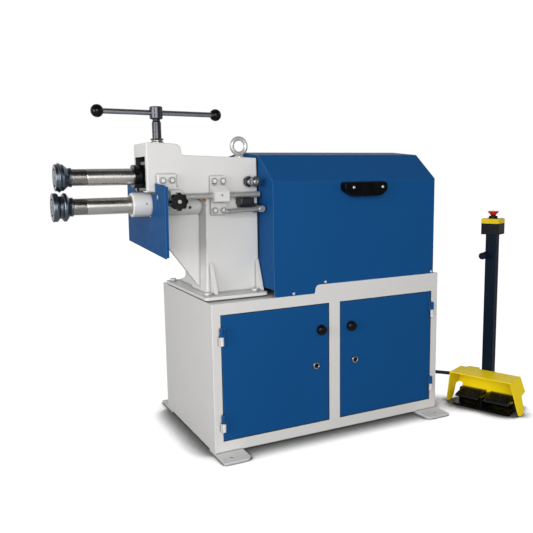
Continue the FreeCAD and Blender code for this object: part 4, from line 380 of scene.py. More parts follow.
@dataclass(frozen=True)
class CastEnamel:
    """Paint over a filled and sanded iron casting."""

    name: str
    colour: tuple[float, float, float, float]
    edge: tuple[float, float, float, float]
    roughness: float = 0.42
    corner_shade: float = 0.70
    shade_middle: Triple = (-0.410, -0.065, 0.873)
    shade_half: Triple = (0.182, 0.0534, 0.0525)
    shade_fall: float = 0.0359
    shade_end: float = -0.476

    def build(self) -> bpy.types.Material:
        """Makes the material.

        Returns:
            The material.
        """
        sheet = ShaderSheet(self.name)
        plain = sheet.place()
        cloud = sheet.remap(sheet.noise(plain, 9.0, 4.0), 0.35, 0.68, 0.0, 0.16)
        shaded = tuple(part * 0.82 for part in self.colour[:3]) + (1.0,)
        tinted = sheet.blend(cloud, self.colour, shaded)
        # Painted edge colour, partly wear: lighter on the casting as a painted highlight, darker on the bolt heads
        # as a painted shade outline.
        edge_wear_and_light = sheet.maths("MULTIPLY", sheet.edges(0.0022), 0.45)
        bright = sheet.blend(edge_wear_and_light, tinted, self.edge)
        # Painted shade: corners and joints are darkened towards near black by ambient occlusion.
        corner_shade_share = sheet.maths("MULTIPLY", sheet.crevice_shade(0.009), self.corner_shade)
        painted = sheet.blend(corner_shade_share, bright, (0.03, 0.03, 0.03, 1.0))
        # Painted shade: the inside of the channel is painted near black.
        sheet.feed("Base Color", sheet.blend(self.channel_shade(sheet), painted, (0.012, 0.013, 0.015, 1.0)))
        sheet.feed("Roughness", sheet.remap(sheet.noise(plain, 30.0, 5.0), 0.3, 0.7, self.roughness - 0.06,
                                            self.roughness + 0.08))
        wave = sheet.noise(plain, 55.0, 2.0)
        grain = sheet.noise(plain, 480.0, 3.0)
        height = sheet.maths("ADD", sheet.maths("MULTIPLY", wave, 5.0), grain)
        sheet.bump(height, 0.00006, 0.7, 0.0016)
        return sheet.material

    def channel_shade(self, sheet: ShaderSheet) -> bpy.types.NodeSocket:
        """Gives 1 inside the channel, whose colour is painted near black as painted shade, and 0 elsewhere.

        Its upper side falls to the right with the casting's top, so that it stays under the paint there.

        Args:
            sheet: The node sheet.

        Returns:
            The value output.
        """
        scale = tuple(1.0 / half for half in self.shade_half)
        split = sheet.nodes.new("ShaderNodeSeparateXYZ")
        sheet.links.new(sheet.place(self.shade_middle, scale), split.inputs[0])
        reach = [sheet.maths("ABSOLUTE", split.outputs[index], 0.0) for index in range(3)]
        widest = sheet.maths("MAXIMUM", sheet.maths("MAXIMUM", reach[0], reach[1]), reach[2])
        fall = self.shade_fall * self.shade_half[0] / self.shade_half[2]
        level = 1.0 - self.shade_fall * (self.shade_middle[0] - self.shade_end) / self.shade_half[2]
        lean = sheet.maths("ADD", split.outputs[2], sheet.maths("MULTIPLY", split.outputs[0], fall))
        return sheet.maths("MULTIPLY", sheet.maths("LESS_THAN", widest, 1.0), sheet.maths("LESS_THAN", lean, level))


@dataclass(frozen=True)
class TurnedSteel:
    """Steel off the lathe, with fine tool lines round its centre line."""

    name: str
    colour: tuple[float, float, float, float]
    axis: Axis
    centre: Triple
    roughness: float = 0.22
    lines: float = 0.000012
    dark: float = 0.75
    hatched: tuple[float, float] = (0.0, 0.0)
    thread_shade_span: tuple[float, float] = (0.0, 0.0)
    pitch: float = 0.004
    metallic: float = 1.0

    def build(self) -> bpy.types.Material:
        """Makes the material.

        Returns:
            The material.
        """
        sheet = ShaderSheet(self.name)
        split = sheet.nodes.new("ShaderNodeSeparateXYZ")
        sheet.links.new(sheet.place(self.centre), split.inputs[0])
        across = [index for index in range(3) if index != self.axis.value]
        first = sheet.maths("POWER", sheet.maths("ABSOLUTE", split.outputs[across[0]], 0.0), 2.0)
        second = sheet.maths("POWER", sheet.maths("ABSOLUTE", split.outputs[across[1]], 0.0), 2.0)
        radius = sheet.maths("SQRT", sheet.maths("ADD", first, second), 0.0)
        joined = sheet.nodes.new("ShaderNodeCombineXYZ")
        sheet.links.new(split.outputs[self.axis.value], joined.inputs[0])
        sheet.links.new(radius, joined.inputs[1])
        rings = sheet.noise(joined.outputs[0], 1500.0, 3.0, 0.6)
        stain = sheet.noise(sheet.place(), 26.0, 4.0)
        deep = tuple(part * self.dark for part in self.colour[:3]) + (1.0,)
        mask = sheet.maths("MULTIPLY", sheet.remap(rings, 0.3, 0.7), sheet.remap(stain, 0.25, 0.75, 0.4, 1.0))
        surface = sheet.blend(mask, self.colour, deep)
        along = split.outputs[self.axis.value]
        turn = sheet.maths("ARCTAN2", split.outputs[across[1]], split.outputs[across[0]])
        if self.hatched[0] != self.hatched[1]:
            rise = sheet.maths("MULTIPLY", along, 2400.0)
            round_it = sheet.maths("MULTIPLY", turn, 44.0)
            first = sheet.maths("SINE", sheet.maths("ADD", rise, round_it), 0.0)
            second = sheet.maths("SINE", sheet.maths("SUBTRACT", rise, round_it), 0.0)
            cross = sheet.remap(sheet.maths("MAXIMUM", first, second), 0.1, 0.95)
            cut = sheet.maths("MULTIPLY", cross, self.within(sheet, along, self.hatched))
            surface = sheet.blend(cut, surface, (0.012, 0.012, 0.013, 1.0))
        # Painted shade: dark helical lines in the colour stand for the shade in a thread's roots.
        if self.thread_shade_span[0] != self.thread_shade_span[1]:
            climb = sheet.maths("MULTIPLY", along, math.tau / self.pitch)
            wave = sheet.maths("SINE", sheet.maths("ADD", climb, turn), 0.0)
            thread_root_shade = sheet.maths("MULTIPLY", sheet.remap(wave, -0.1, 0.8, 0.0, 0.45),
                               self.within(sheet, along, self.thread_shade_span))
            surface = sheet.blend(thread_root_shade, surface, (0.016, 0.016, 0.018, 1.0))
        sheet.feed("Base Color", surface)
        sheet.feed("Roughness", sheet.remap(stain, 0.3, 0.7, self.roughness - 0.04, self.roughness + 0.07))
        sheet.fix("Metallic", self.metallic)
        sheet.bump(rings, self.lines, 0.7, 0.0004)
        return sheet.material

    @staticmethod
    def within(sheet: ShaderSheet, along: bpy.types.NodeSocket, span: tuple[float, float]) -> bpy.types.NodeSocket:
        """Gives 1 between two places along the centre line and 0 outside them.

        Args:
            sheet: The node sheet.
            along: The distance along the centre line.
            span: The two places.

        Returns:
            The value output.
        """
        above = sheet.maths("GREATER_THAN", along, span[0])
        below = sheet.maths("LESS_THAN", along, span[1])
        return sheet.maths("MULTIPLY", above, below)


@dataclass(frozen=True)
class PlatedSteel:
    """Bright zinc or blackened steel, as screws and small fittings have."""

    name: str
    colour: tuple[float, float, float, float]
    roughness: float = 0.34
    grain: float = 0.00002
    metallic: float = 1.0
    steel_above: float = 0.0

    def build(self) -> bpy.types.Material:
        """Makes the material.

        Returns:
            The material.
        """
        sheet = ShaderSheet(self.name)
        plain = sheet.place()
        stain = sheet.noise(plain, 60.0, 5.0, 0.6)
        deep = tuple(part * 0.7 for part in self.colour[:3]) + (1.0,)
        bright = tuple(min(1.0, part * 1.35) for part in self.colour[:3]) + (1.0,)
        body = sheet.blend(sheet.remap(stain, 0.3, 0.7), self.colour, deep)
        # Painted highlight, partly wear: the edges are painted lighter than the body.
        surface = sheet.blend(sheet.edges(0.0007), body, bright)
        if self.steel_above > 0:
            split = sheet.nodes.new("ShaderNodeSeparateXYZ")
            sheet.links.new(plain, split.inputs[0])
            over = sheet.maths("GREATER_THAN", split.outputs["Z"], self.steel_above)
            surface = sheet.blend(over, surface, linear(158, 157, 152))
        sheet.feed("Base Color", surface)
        sheet.feed("Roughness", sheet.remap(stain, 0.3, 0.7, self.roughness - 0.06, self.roughness + 0.08))
        sheet.fix("Metallic", self.metallic)
        sheet.bump(sheet.noise(plain, 900.0, 3.0), self.grain, 0.6, 0.0004)
        return sheet.material


@dataclass(frozen=True)
class Moulding:
    """Moulded plastic or rubber, with a fine grain from the tool."""

    name: str
    colour: tuple[float, float, float, float]
    roughness: float = 0.32
    grain: float = 0.00002
    grain_scale: float = 900.0
    gloss: float = 0.5

    def build(self) -> bpy.types.Material:
        """Makes the material.

        Returns:
            The material.
        """
        sheet = ShaderSheet(self.name)
        plain = sheet.place()
        cloud = sheet.remap(sheet.noise(plain, 22.0, 4.0), 0.3, 0.7, 0.0, 1.0)
        faded = tuple(min(1.0, part * 1.25 + 0.002) for part in self.colour[:3]) + (1.0,)
        sheet.feed("Base Color", sheet.blend(cloud, self.colour, faded))
        sheet.feed("Roughness", sheet.remap(sheet.noise(plain, 45.0, 4.0), 0.3, 0.7, self.roughness - 0.05,
                                            self.roughness + 0.07))
        sheet.fix("Specular IOR Level", self.gloss)
        sheet.bump(sheet.noise(plain, self.grain_scale, 2.0), self.grain, 0.7, 0.0006)
        return sheet.material


@dataclass
class Camera:
    """The camera, where the photograph was taken from."""

    lens: float = 43.55
    sensor: float = 36.0
    place: Triple = (-1.1197, -2.0245, 0.8615)
    yaw: float = 26.04
    pitch: float = 7.98
    roll: float = -0.94

    def build(self) -> bpy.types.Object:
        """Makes the camera and gives it to the scene.

        Returns:
            The camera object.
        """
        yaw, pitch, roll = (math.radians(angle) for angle in (self.yaw, self.pitch, self.roll))
        ahead = Vector((math.sin(yaw) * math.cos(pitch), math.cos(yaw) * math.cos(pitch), -math.sin(pitch)))
        level = Vector((math.cos(yaw), -math.sin(yaw), 0.0))
        over = level.cross(ahead)
        right = level * math.cos(roll) + over * math.sin(roll)
        up = over * math.cos(roll) - level * math.sin(roll)
        data = bpy.data.cameras.new("photo_camera")
        data.lens = self.lens
        data.sensor_width = self.sensor
        data.sensor_fit = "HORIZONTAL"
        data.clip_end = 60.0
        camera = bpy.data.objects.new("photo_camera", data)
        bpy.context.scene.collection.objects.link(camera)
        turn = Matrix((right, up, -ahead)).transposed().to_4x4()
        camera.matrix_world = Matrix.Translation(Vector(self.place)) @ turn
        bpy.context.scene.camera = camera
        return camera


@dataclass
class Studio:
    """The floor, the white surround and the lamps."""

    floor_half: float = 9.0
    floor_colour: float = 0.15
    floor_glow: float = 1.0
    floor_shine: float = 0.35
    shadow_reach: float = 0.15
    surround: float = 0.55
    overhead: float = 0.56
    room: float = 0.10
    ceiling: float = 0.35

    def build(self) -> None:
        """Makes the floor, the surround and the lamps."""
        self.make_floor()
        self.make_surround()
        self.make_lamp("key_lamp", (-1.5, -3.6, 1.3), (0.0, 0.0, 0.5), 2.2, 84.0)
        self.make_lamp("front_card", (-0.20, -2.60, 1.05), (-0.20, 0.0, 0.95), 1.1, 4.2)
        self.make_lamp("left_lamp", (-3.0, -1.1, 1.0), (-0.2, 0.0, 0.6), 1.6, 46.0)
        self.make_lamp("right_lamp", (2.9, -1.8, 2.1), (0.2, 0.0, 0.5), 1.6, 10.0)

    def make_floor(self) -> None:
        """Makes the pale floor, which shows white; its glow is darkened round the machine by ambient occlusion as a
        painted shadow, over a faint real shadow.
        """
        mesh = bpy.data.meshes.new("studio_floor")
        shape = bmesh.new()
        bmesh.ops.create_grid(shape, x_segments=1, y_segments=1, size=self.floor_half)
        shape.to_mesh(mesh)
        shape.free()
        floor = bpy.data.objects.new("studio_floor", mesh)
        bpy.context.scene.collection.objects.link(floor)
        material = bpy.data.materials.new("floor_white")
        material.use_nodes = True
        nodes = material.node_tree.nodes
        links = material.node_tree.links
        nodes.clear()
        matt = nodes.new("ShaderNodeBsdfDiffuse")
        matt.inputs["Color"].default_value = (self.floor_colour, self.floor_colour, self.floor_colour, 1.0)
        # Painted shadow: the glow falls off near the machine by ambient occlusion, which darkens the floor round the
        # feet and the pedal station.
        near = nodes.new("ShaderNodeAmbientOcclusion")
        near.samples = 12
        near.inputs["Distance"].default_value = self.shadow_reach
        painted_shadow_glow = nodes.new("ShaderNodeMapRange")
        painted_shadow_glow.interpolation_type = "SMOOTHSTEP"
        painted_shadow_glow.inputs["From Min"].default_value = 0.60
        painted_shadow_glow.inputs["From Max"].default_value = 0.86
        painted_shadow_glow.inputs["To Min"].default_value = 0.0
        painted_shadow_glow.inputs["To Max"].default_value = self.floor_glow
        links.new(near.outputs["AO"], painted_shadow_glow.inputs["Value"])
        strength = nodes.new("ShaderNodeMath")
        strength.operation = "MULTIPLY"
        links.new(self.seen(nodes, links, self.floor_shine), strength.inputs[0])
        links.new(painted_shadow_glow.outputs[0], strength.inputs[1])
        glow = nodes.new("ShaderNodeEmission")
        glow.inputs["Color"].default_value = (1.0, 1.0, 1.0, 1.0)
        links.new(strength.outputs[0], glow.inputs["Strength"])
        total = nodes.new("ShaderNodeAddShader")
        links.new(matt.outputs[0], total.inputs[0])
        links.new(glow.outputs[0], total.inputs[1])
        output = nodes.new("ShaderNodeOutputMaterial")
        links.new(total.outputs[0], output.inputs["Surface"])
        mesh.materials.append(material)

    @staticmethod
    def seen(nodes: bpy.types.Nodes, links: bpy.types.NodeLinks, shine: float = 1.0) -> bpy.types.NodeSocket:
        """Gives 1 for what the camera or a glass shows, and 0 for light that falls on things.

        Args:
            nodes: The nodes of the tree it is for.
            links: The links of that tree.
            shine: The share of it that a gloss shows.

        Returns:
            The value output.
        """
        path = nodes.new("ShaderNodeLightPath")
        glossy = nodes.new("ShaderNodeMath")
        glossy.operation = "MULTIPLY"
        glossy.inputs[1].default_value = shine
        links.new(path.outputs["Is Glossy Ray"], glossy.inputs[0])
        first = nodes.new("ShaderNodeMath")
        first.operation = "MAXIMUM"
        links.new(path.outputs["Is Camera Ray"], first.inputs[0])
        links.new(glossy.outputs[0], first.inputs[1])
        second = nodes.new("ShaderNodeMath")
        second.operation = "MAXIMUM"
        links.new(first.outputs[0], second.inputs[0])
        links.new(path.outputs["Is Transmission Ray"], second.inputs[1])
        return second.outputs[0]

    def make_surround(self) -> None:
        """Makes the white surround, with a dimmer room on the side that the machine faces."""
        world = bpy.data.worlds.new("studio_surround")
        bpy.context.scene.world = world
        world.use_nodes = True
        nodes = world.node_tree.nodes
        links = world.node_tree.links
        nodes.clear()
        light = nodes.new("ShaderNodeBackground")
        light.inputs["Color"].default_value = (1.0, 1.0, 1.0, 1.0)
        direction = nodes.new("ShaderNodeTexCoord")
        split = nodes.new("ShaderNodeSeparateXYZ")
        links.new(direction.outputs["Generated"], split.inputs[0])
        fall = nodes.new("ShaderNodeMapRange")
        fall.interpolation_type = "SMOOTHSTEP"
        fall.inputs["From Min"].default_value = 0.15
        fall.inputs["From Max"].default_value = 0.75
        fall.inputs["To Min"].default_value = self.surround
        fall.inputs["To Max"].default_value = self.surround * self.overhead
        links.new(split.outputs["Z"], fall.inputs["Value"])
        links.new(fall.outputs[0], light.inputs["Strength"])
        behind = nodes.new("ShaderNodeMapRange")
        behind.interpolation_type = "SMOOTHSTEP"
        behind.inputs["From Min"].default_value = -0.25
        behind.inputs["From Max"].default_value = 0.35
        behind.inputs["To Min"].default_value = self.room
        behind.inputs["To Max"].default_value = 1.0
        links.new(split.outputs["Y"], behind.inputs["Value"])
        above = nodes.new("ShaderNodeMapRange")
        above.interpolation_type = "SMOOTHSTEP"
        above.inputs["From Min"].default_value = 0.30
        above.inputs["From Max"].default_value = 0.65
        above.inputs["To Min"].default_value = 1.0
        above.inputs["To Max"].default_value = self.ceiling
        links.new(split.outputs["Z"], above.inputs["Value"])
        shaded = nodes.new("ShaderNodeMath")
        shaded.operation = "MULTIPLY"
        links.new(behind.outputs[0], shaded.inputs[0])
        links.new(above.outputs[0], shaded.inputs[1])
        path = nodes.new("ShaderNodeLightPath")
        brightness = nodes.new("ShaderNodeMath")
        brightness.operation = "MAXIMUM"
        links.new(shaded.outputs[0], brightness.inputs[0])
        links.new(path.outputs["Is Camera Ray"], brightness.inputs[1])
        white = nodes.new("ShaderNodeBackground")
        white.inputs["Color"].default_value = (1.0, 1.0, 1.0, 1.0)
        links.new(brightness.outputs[0], white.inputs["Strength"])
        choice = nodes.new("ShaderNodeMixShader")
        links.new(self.seen(nodes, links), choice.inputs[0])
        links.new(light.outputs[0], choice.inputs[1])
        links.new(white.outputs[0], choice.inputs[2])
        output = nodes.new("ShaderNodeOutputWorld")
        links.new(choice.outputs[0], output.inputs["Surface"])

    @staticmethod
    def make_lamp(name: str, place: Triple, aim: Triple, size: float, power: float) -> None:
        """Makes one soft square lamp.

        Args:
            name: The lamp's name.
            place: Where it stands.
            aim: The point that it faces.
            size: The length of its side.
            power: Its power in watts.
        """
        data = bpy.data.lights.new(name, "AREA")
        data.shape = "SQUARE"
        data.size = size
        data.energy = power
        lamp = bpy.data.objects.new(name, data)
        bpy.context.scene.collection.objects.link(lamp)
        facing = (Vector(aim) - Vector(place)).to_track_quat("-Z", "Y")
        lamp.matrix_world = Matrix.Translation(Vector(place)) @ facing.to_matrix().to_4x4()


@dataclass
class PedalCable:
    """The rubber cable from the cabinet's rear wall to the pedal station."""

    radius: float = 0.006
    length: float = 1.1057
    route: tuple[Triple, ...] = ()

    def build(self, finish: bpy.types.Material) -> bpy.types.Object:
        """Args:
            finish: The rubber of its jacket.

        Returns:
            The cable object.
        """
        data = bpy.data.curves.new("pedal_cable_jacket", "CURVE")
        data.dimensions = "3D"
        data.bevel_depth = self.radius
        data.bevel_resolution = 6
        data.resolution_u = 16
        data.use_fill_caps = True
        line = data.splines.new("NURBS")
        line.points.add(len(self.route) - 1)
        for point, place in zip(line.points, self.route):
            point.co = (*place, 1.0)
        line.order_u = 3
        line.use_endpoint_u = True
        data.materials.append(finish)
        cable = bpy.data.objects.new("pedal_cable_jacket", data)
        bpy.context.scene.collection.objects.link(cable)
        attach(cable, Body.MACHINE.value)
        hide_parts("pedal_cable")
        return cable


class Blank:
    """One piece while it is shaped, with the few operators that the pieces share."""

    def __init__(self, name: str, frame: Matrix | None = None) -> None:
        """Starts an empty piece.

        Args:
            name: The piece's name.
            frame: The axes that its sizes are given in, or none for the machine's own.
        """
        self.name = name
        self.frame = frame
        self.shape = bmesh.new()

    def turned(self, profile: tuple[tuple[float, float], ...], axis: Axis, start: Triple,
               sense: float = 1.0, steps: int = 48) -> None:
        """Adds a lathe part.

        Args:
            profile: Pairs of distance along the axis and radius.
            axis: The direction of the centre line.
            start: The point on the centre line where the distance is 0.
            sense: 1 if the distance grows along the axis, and -1 if against it.
            steps: Facets round the part.
        """
        along = Vector((0.0, 0.0, 0.0))
        along[axis.value] = sense
        outward = Vector((0.0, 0.0, 0.0))
        outward[(axis.value + 1) % 3] = 1.0
        points = [self.shape.verts.new(Vector(start) + along * distance + outward * radius)
                  for distance, radius in profile]
        lines = [self.shape.edges.new(pair) for pair in zip(points, points[1:])]
        bmesh.ops.spin(self.shape, geom=points + lines, cent=start, axis=along, dvec=(0.0, 0.0, 0.0),
                       angle=math.tau, steps=steps, use_merge=True)

    def boxed(self, low: Triple, high: Triple, edge: float, segments: int = 2,
              turn: Matrix | None = None) -> None:
        """Adds a block with rounded edges.

        Args:
            low: Its lowest corner.
            high: Its highest corner.
            edge: The radius of its edges.
            segments: Facets round an edge.
            turn: A turn about its middle, or none.
        """
        middle = (Vector(low) + Vector(high)) / 2
        size = Vector(high) - Vector(low)
        place = Matrix.Translation(middle)
        if turn is not None:
            place = place @ turn.to_4x4()
        made = bmesh.ops.create_cube(self.shape, size=1.0, matrix=place @ Matrix.Diagonal((*size, 1.0)))
        lines = {line for point in made["verts"] for line in point.link_edges}
        bmesh.ops.bevel(self.shape, geom=list(lines), offset=edge, offset_type="OFFSET", segments=segments,
                        profile=0.5, affect="EDGES", material=-1)

    def sided(self, sides: int, across: float, height: float, axis: Axis, start: Triple,
              sense: float = 1.0, edge: float = 0.0008, bore: float = 0.0) -> None:
        """Adds a nut or a bolt head with chamfered ends.

        Args:
            sides: How many flats it has.
            across: The distance between two flats.
            height: Its height.
            axis: The direction that it points in.
            start: The middle of its lower face.
            sense: 1 along the axis and -1 against it.
            edge: The width of its chamfer.
            bore: The radius of a pit in its top, or 0.
        """
        along = Vector((0.0, 0.0, 0.0))
        along[axis.value] = sense
        aim = along.to_track_quat("Z", "Y").to_matrix().to_4x4()
        corner = across / 2 / math.cos(math.pi / sides)
        ring = bmesh.ops.create_circle(self.shape, cap_ends=True, segments=sides, radius=corner,
                                       matrix=Matrix.Translation(Vector(start)) @ aim)
        base = list({face for point in ring["verts"] for face in point.link_faces})
        raised = bmesh.ops.extrude_face_region(self.shape, geom=base)["geom"]
        points = [part for part in raised if isinstance(part, bmesh.types.BMVert)]
        bmesh.ops.translate(self.shape, verts=points, vec=along * height)
        top = [part for part in raised if isinstance(part, bmesh.types.BMFace)]
        rim = [line for line in top[0].edges]
        bmesh.ops.bevel(self.shape, geom=rim, offset=edge, offset_type="OFFSET", segments=2, profile=0.5,
                        affect="EDGES", material=-1)
        if bore > 0:
            caps = [face for face in self.shape.faces
                    if abs((face.calc_center_median() - Vector(start)).dot(along) - height) < 1e-6
                    and (face.calc_center_median() - Vector(start) - along * height).length < 1e-4]
            bmesh.ops.inset_region(self.shape, faces=caps, thickness=max(0.0, across / 2 - edge - bore))
            bmesh.ops.inset_region(self.shape, faces=caps, thickness=0.0002, depth=-bore * 0.6)

    def finish(self, body: Body, finish: bpy.types.Material, slot: str, replaced: tuple[str, ...] = (),
               sharp: float = 32.0) -> bpy.types.Object:
        """Closes the piece and hands it to the scene.

        Args:
            body: The body that it rides on.
            finish: Its material.
            slot: The record's material slot; it is not used.
            replaced: The CAD nodes that it stands for.
            sharp: The angle in degrees above which an edge stays sharp.

        Returns:
            The piece's object.
        """
        bmesh.ops.remove_doubles(self.shape, verts=self.shape.verts, dist=0.000002)
        if self.frame is not None:
            bmesh.ops.transform(self.shape, matrix=self.frame, verts=self.shape.verts)
        bmesh.ops.recalc_face_normals(self.shape, faces=self.shape.faces)
        mesh = bpy.data.meshes.new(self.name)
        self.shape.to_mesh(mesh)
        self.shape.free()
        mesh.shade_smooth()
        mesh.set_sharp_from_angle(angle=math.radians(sharp))
        mesh.materials.append(finish)
        piece = bpy.data.objects.new(self.name, mesh)
        bpy.context.scene.collection.objects.link(piece)
        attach(piece, body.value)
        if replaced:
            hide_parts(*replaced)
        LOG.info("%s is built with %d faces", self.name, len(mesh.polygons))
        return piece


@dataclass
class DoorLatch:
    """A door's domed knob with the cam behind the door."""

    name: str
    body: Body
    place: tuple[float, float]
    cam_top: float
    face: float = -0.2412
    radius: float = 0.017
    height: float = 0.020
    stem: float = 0.005
    cam_front: float = -0.217
    cam_sheet: float = 0.003
    cam_half: float = 0.009

    def build(self, finishes: "Finishes") -> None:
        """Makes the knob, its grip line and the cam.

        Args:
            finishes: The finishes.
        """
        x, z = self.place
        knob = Blank(self.name + "_knob")
        r, h = self.radius, self.height
        knob.turned(((-0.0008, 0.0), (-0.0008, r * 0.60), (0.0028, r * 0.58), (0.0040, r * 0.78),
                     (0.0052, r * 0.955), (0.0064, r), (h * 0.55, r), (h * 0.74, r * 0.95),
                     (h * 0.88, r * 0.82), (h * 0.96, r * 0.62), (h * 0.975, r * 0.40), (h * 0.96, r * 0.36),
                     (h * 0.96, 0.0)), Axis.Y, (x, self.face, z), -1.0, 64)
        knob.boxed((x - r * 0.92, self.face - h, z - 0.0012), (x + r * 0.92, self.face - h * 0.80, z + 0.0012),
                   0.0006)
        knob.finish(self.body, finishes.gloss_black, "black_plastic", (self.name,))
        cam = Blank(self.name + "_cam")
        cam.turned(((0.0, 0.0), (0.0, self.stem), (self.cam_front - self.face + 0.0004, self.stem)), Axis.Y,
                   (x, self.face - 0.0004, z))
        cam.boxed((x - self.cam_half, self.cam_front, z - self.cam_half),
                  (x + self.cam_half, self.cam_front + self.cam_sheet, self.cam_top), 0.0008)
        cam.finish(self.body, finishes.dark, "black_plastic")


@dataclass
class KeyLock:
    """A door's round key lock with a plated rim round a dark barrel."""

    name: str
    body: Body
    place: tuple[float, float]
    cam_top: float
    face: float = -0.2412
    radius: float = 0.012
    head: float = 0.005
    stem: float = 0.008
    cam_front: float = -0.217
    cam_sheet: float = 0.003
    cam_half: float = 0.009

    def build(self, finishes: "Finishes") -> None:
        """Makes the rim, the barrel and the cam.

        Args:
            finishes: The finishes.
        """
        x, z = self.place
        r, h = self.radius, self.head
        rim = Blank(self.name + "_rim")
        rim.turned(((-0.0004, 0.0), (-0.0004, r), (h * 0.55, r), (h * 0.86, r * 0.93), (h, r * 0.82),
                    (h, r * 0.70), (h * 0.80, r * 0.64), (h * 0.80, 0.0)), Axis.Y, (x, self.face, z), -1.0, 56)
        rim.finish(self.body, finishes.chrome, "zinc_steel", (self.name,))
        barrel = Blank(self.name + "_barrel")
        barrel.turned(((h * 0.78, 0.0), (h * 0.78, r * 0.62), (h * 0.92, r * 0.60), (h * 0.98, r * 0.52),
                       (h * 0.98, r * 0.30), (h * 0.84, r * 0.24), (h * 0.84, 0.0)), Axis.Y,
                      (x, self.face, z), -1.0, 48)
        barrel.boxed((x - 0.0005, self.face - h * 0.97, z - r * 0.22),
                     (x + 0.0005, self.face - h * 0.80, z + r * 0.22), 0.0002, 1)
        barrel.finish(self.body, finishes.gloss_black, "black_plastic")
        cam = Blank(self.name + "_cam")
        cam.turned(((0.0, 0.0), (0.0, self.stem), (self.cam_front - self.face + 0.0002, self.stem)), Axis.Y,
                   (x, self.face, z))
        cam.boxed((x - self.cam_half, self.cam_front, z - self.cam_half),
                  (x + self.cam_half, self.cam_front + self.cam_sheet, self.cam_top), 0.0008)
        cam.finish(self.body, finishes.dark, "zinc_steel")


@dataclass
class FeedHandle:
    """The bar through the feed screw's hub, with a moulded ball on each end."""

    centre: Triple = (-0.530, -0.065, 1.0585)
    offset: float = 0.010
    length: float = 0.385
    angle: float = 5.0
    bar_radius: float = 0.008
    socket: float = 0.006
    ball_radius: float = 0.019

    def build(self, finishes: "Finishes") -> None:
        """Makes the bar, its two balls and the grub screw that holds it in the hub.

        Args:
            finishes: The finishes.
        """
        x, y, z = self.centre
        turn = (Matrix.Translation(Vector(self.centre)) @ Matrix.Rotation(math.radians(self.angle), 4, "Z")
                @ Matrix.Translation(-Vector(self.centre)))
        reach = self.length / 2 + self.socket
        r = self.bar_radius
        bar = Blank("feed_handle_bar", turn)
        bar.turned(((-reach, 0.0), (-reach, r - 0.001), (-reach + 0.001, r), (reach - 0.001, r),
                    (reach, r - 0.001), (reach, 0.0)), Axis.X, (x + self.offset, y, z))
        bar.finish(Body.FEED_HANDLE, finishes.bar, "polished_steel", ("feed_bar",))
        for side, name in ((-1.0, "feed_ball_left"), (1.0, "feed_ball_right")):
            ball = Blank(name, turn)
            big = self.ball_radius
            flat = math.sqrt(big * big - (big - 0.003) ** 2)
            profile = [(-(big - 0.003), r), (-(big - 0.003), flat - 0.001), (-(big - 0.0036), flat)]
            first = math.acos(flat / big)
            for step in range(1, 19):
                lift = -first + (first + math.pi / 2) * step / 18
                profile.append((big * math.sin(lift), big * math.cos(lift)))
            profile[-1] = (big, 0.0)
            ball.turned(tuple(profile), Axis.X, (x + self.offset + side * self.length / 2, y, z), side, 56)
            ball.finish(Body.FEED_HANDLE, finishes.gloss_black, "black_plastic", ("feed_bar",))
        grub = Blank("feed_hub_grub_screw", turn)
        grub.sided(6, 0.0075, 0.0012, Axis.Z, (x, y, z + 0.0176), 1.0, 0.0003, 0.0022)
        grub.finish(Body.FEED_HANDLE, finishes.dark, "dark_steel")


@dataclass
class Trunnion:
    """One pivot screw of the rocking arm, threaded, with its two nuts."""

    name: str
    face: float
    sense: float
    x: float = -0.258
    z: float = 0.845
    reach: float = 0.068
    radius: float = 0.010
    nut_across: float = 0.030
    nut_height: float = 0.016
    second_nut: float = 0.046
    pitch: float = 0.0025

    def build(self, finishes: "Finishes") -> None:
        """Makes the thread between the nuts, the stud's bright tip and the two chamfered nuts.

        Args:
            finishes: The finishes.
        """
        start = (self.x, self.face, self.z)
        stud = Blank(self.name + "_stud")
        profile = [(-0.0005, 0.0), (-0.0005, self.radius - 0.0008)]
        count = int((self.reach - 0.004) / self.pitch)
        for index in range(count):
            base = 0.001 + index * self.pitch
            profile += [(base, self.radius - 0.0013), (base + self.pitch * 0.4, self.radius),
                        (base + self.pitch * 0.6, self.radius)]
        end = self.reach
        profile += [(end - 0.0026, self.radius - 0.0006), (end - 0.0004, self.radius - 0.0022),
                    (end, self.radius - 0.0030), (end, 0.003), (end - 0.0016, 0.0)]
        stud.turned(tuple(profile), Axis.Y, start, self.sense, 40)
        stud.finish(Body.MACHINE, finishes.stud, "dark_steel", ("trunnion_screws",))
        for index, offset in enumerate((0.0, self.second_nut)):
            nut = Blank(f"{self.name}_nut_{index + 1}")
            nut.sided(6, self.nut_across - 0.0004, self.nut_height + 0.0004, Axis.Y,
                      (self.x, self.face + self.sense * (offset - 0.0002), self.z), self.sense, 0.0014)
            nut.finish(Body.MACHINE, finishes.nuts[index], "dark_steel", ("trunnion_screws",), 20.0)


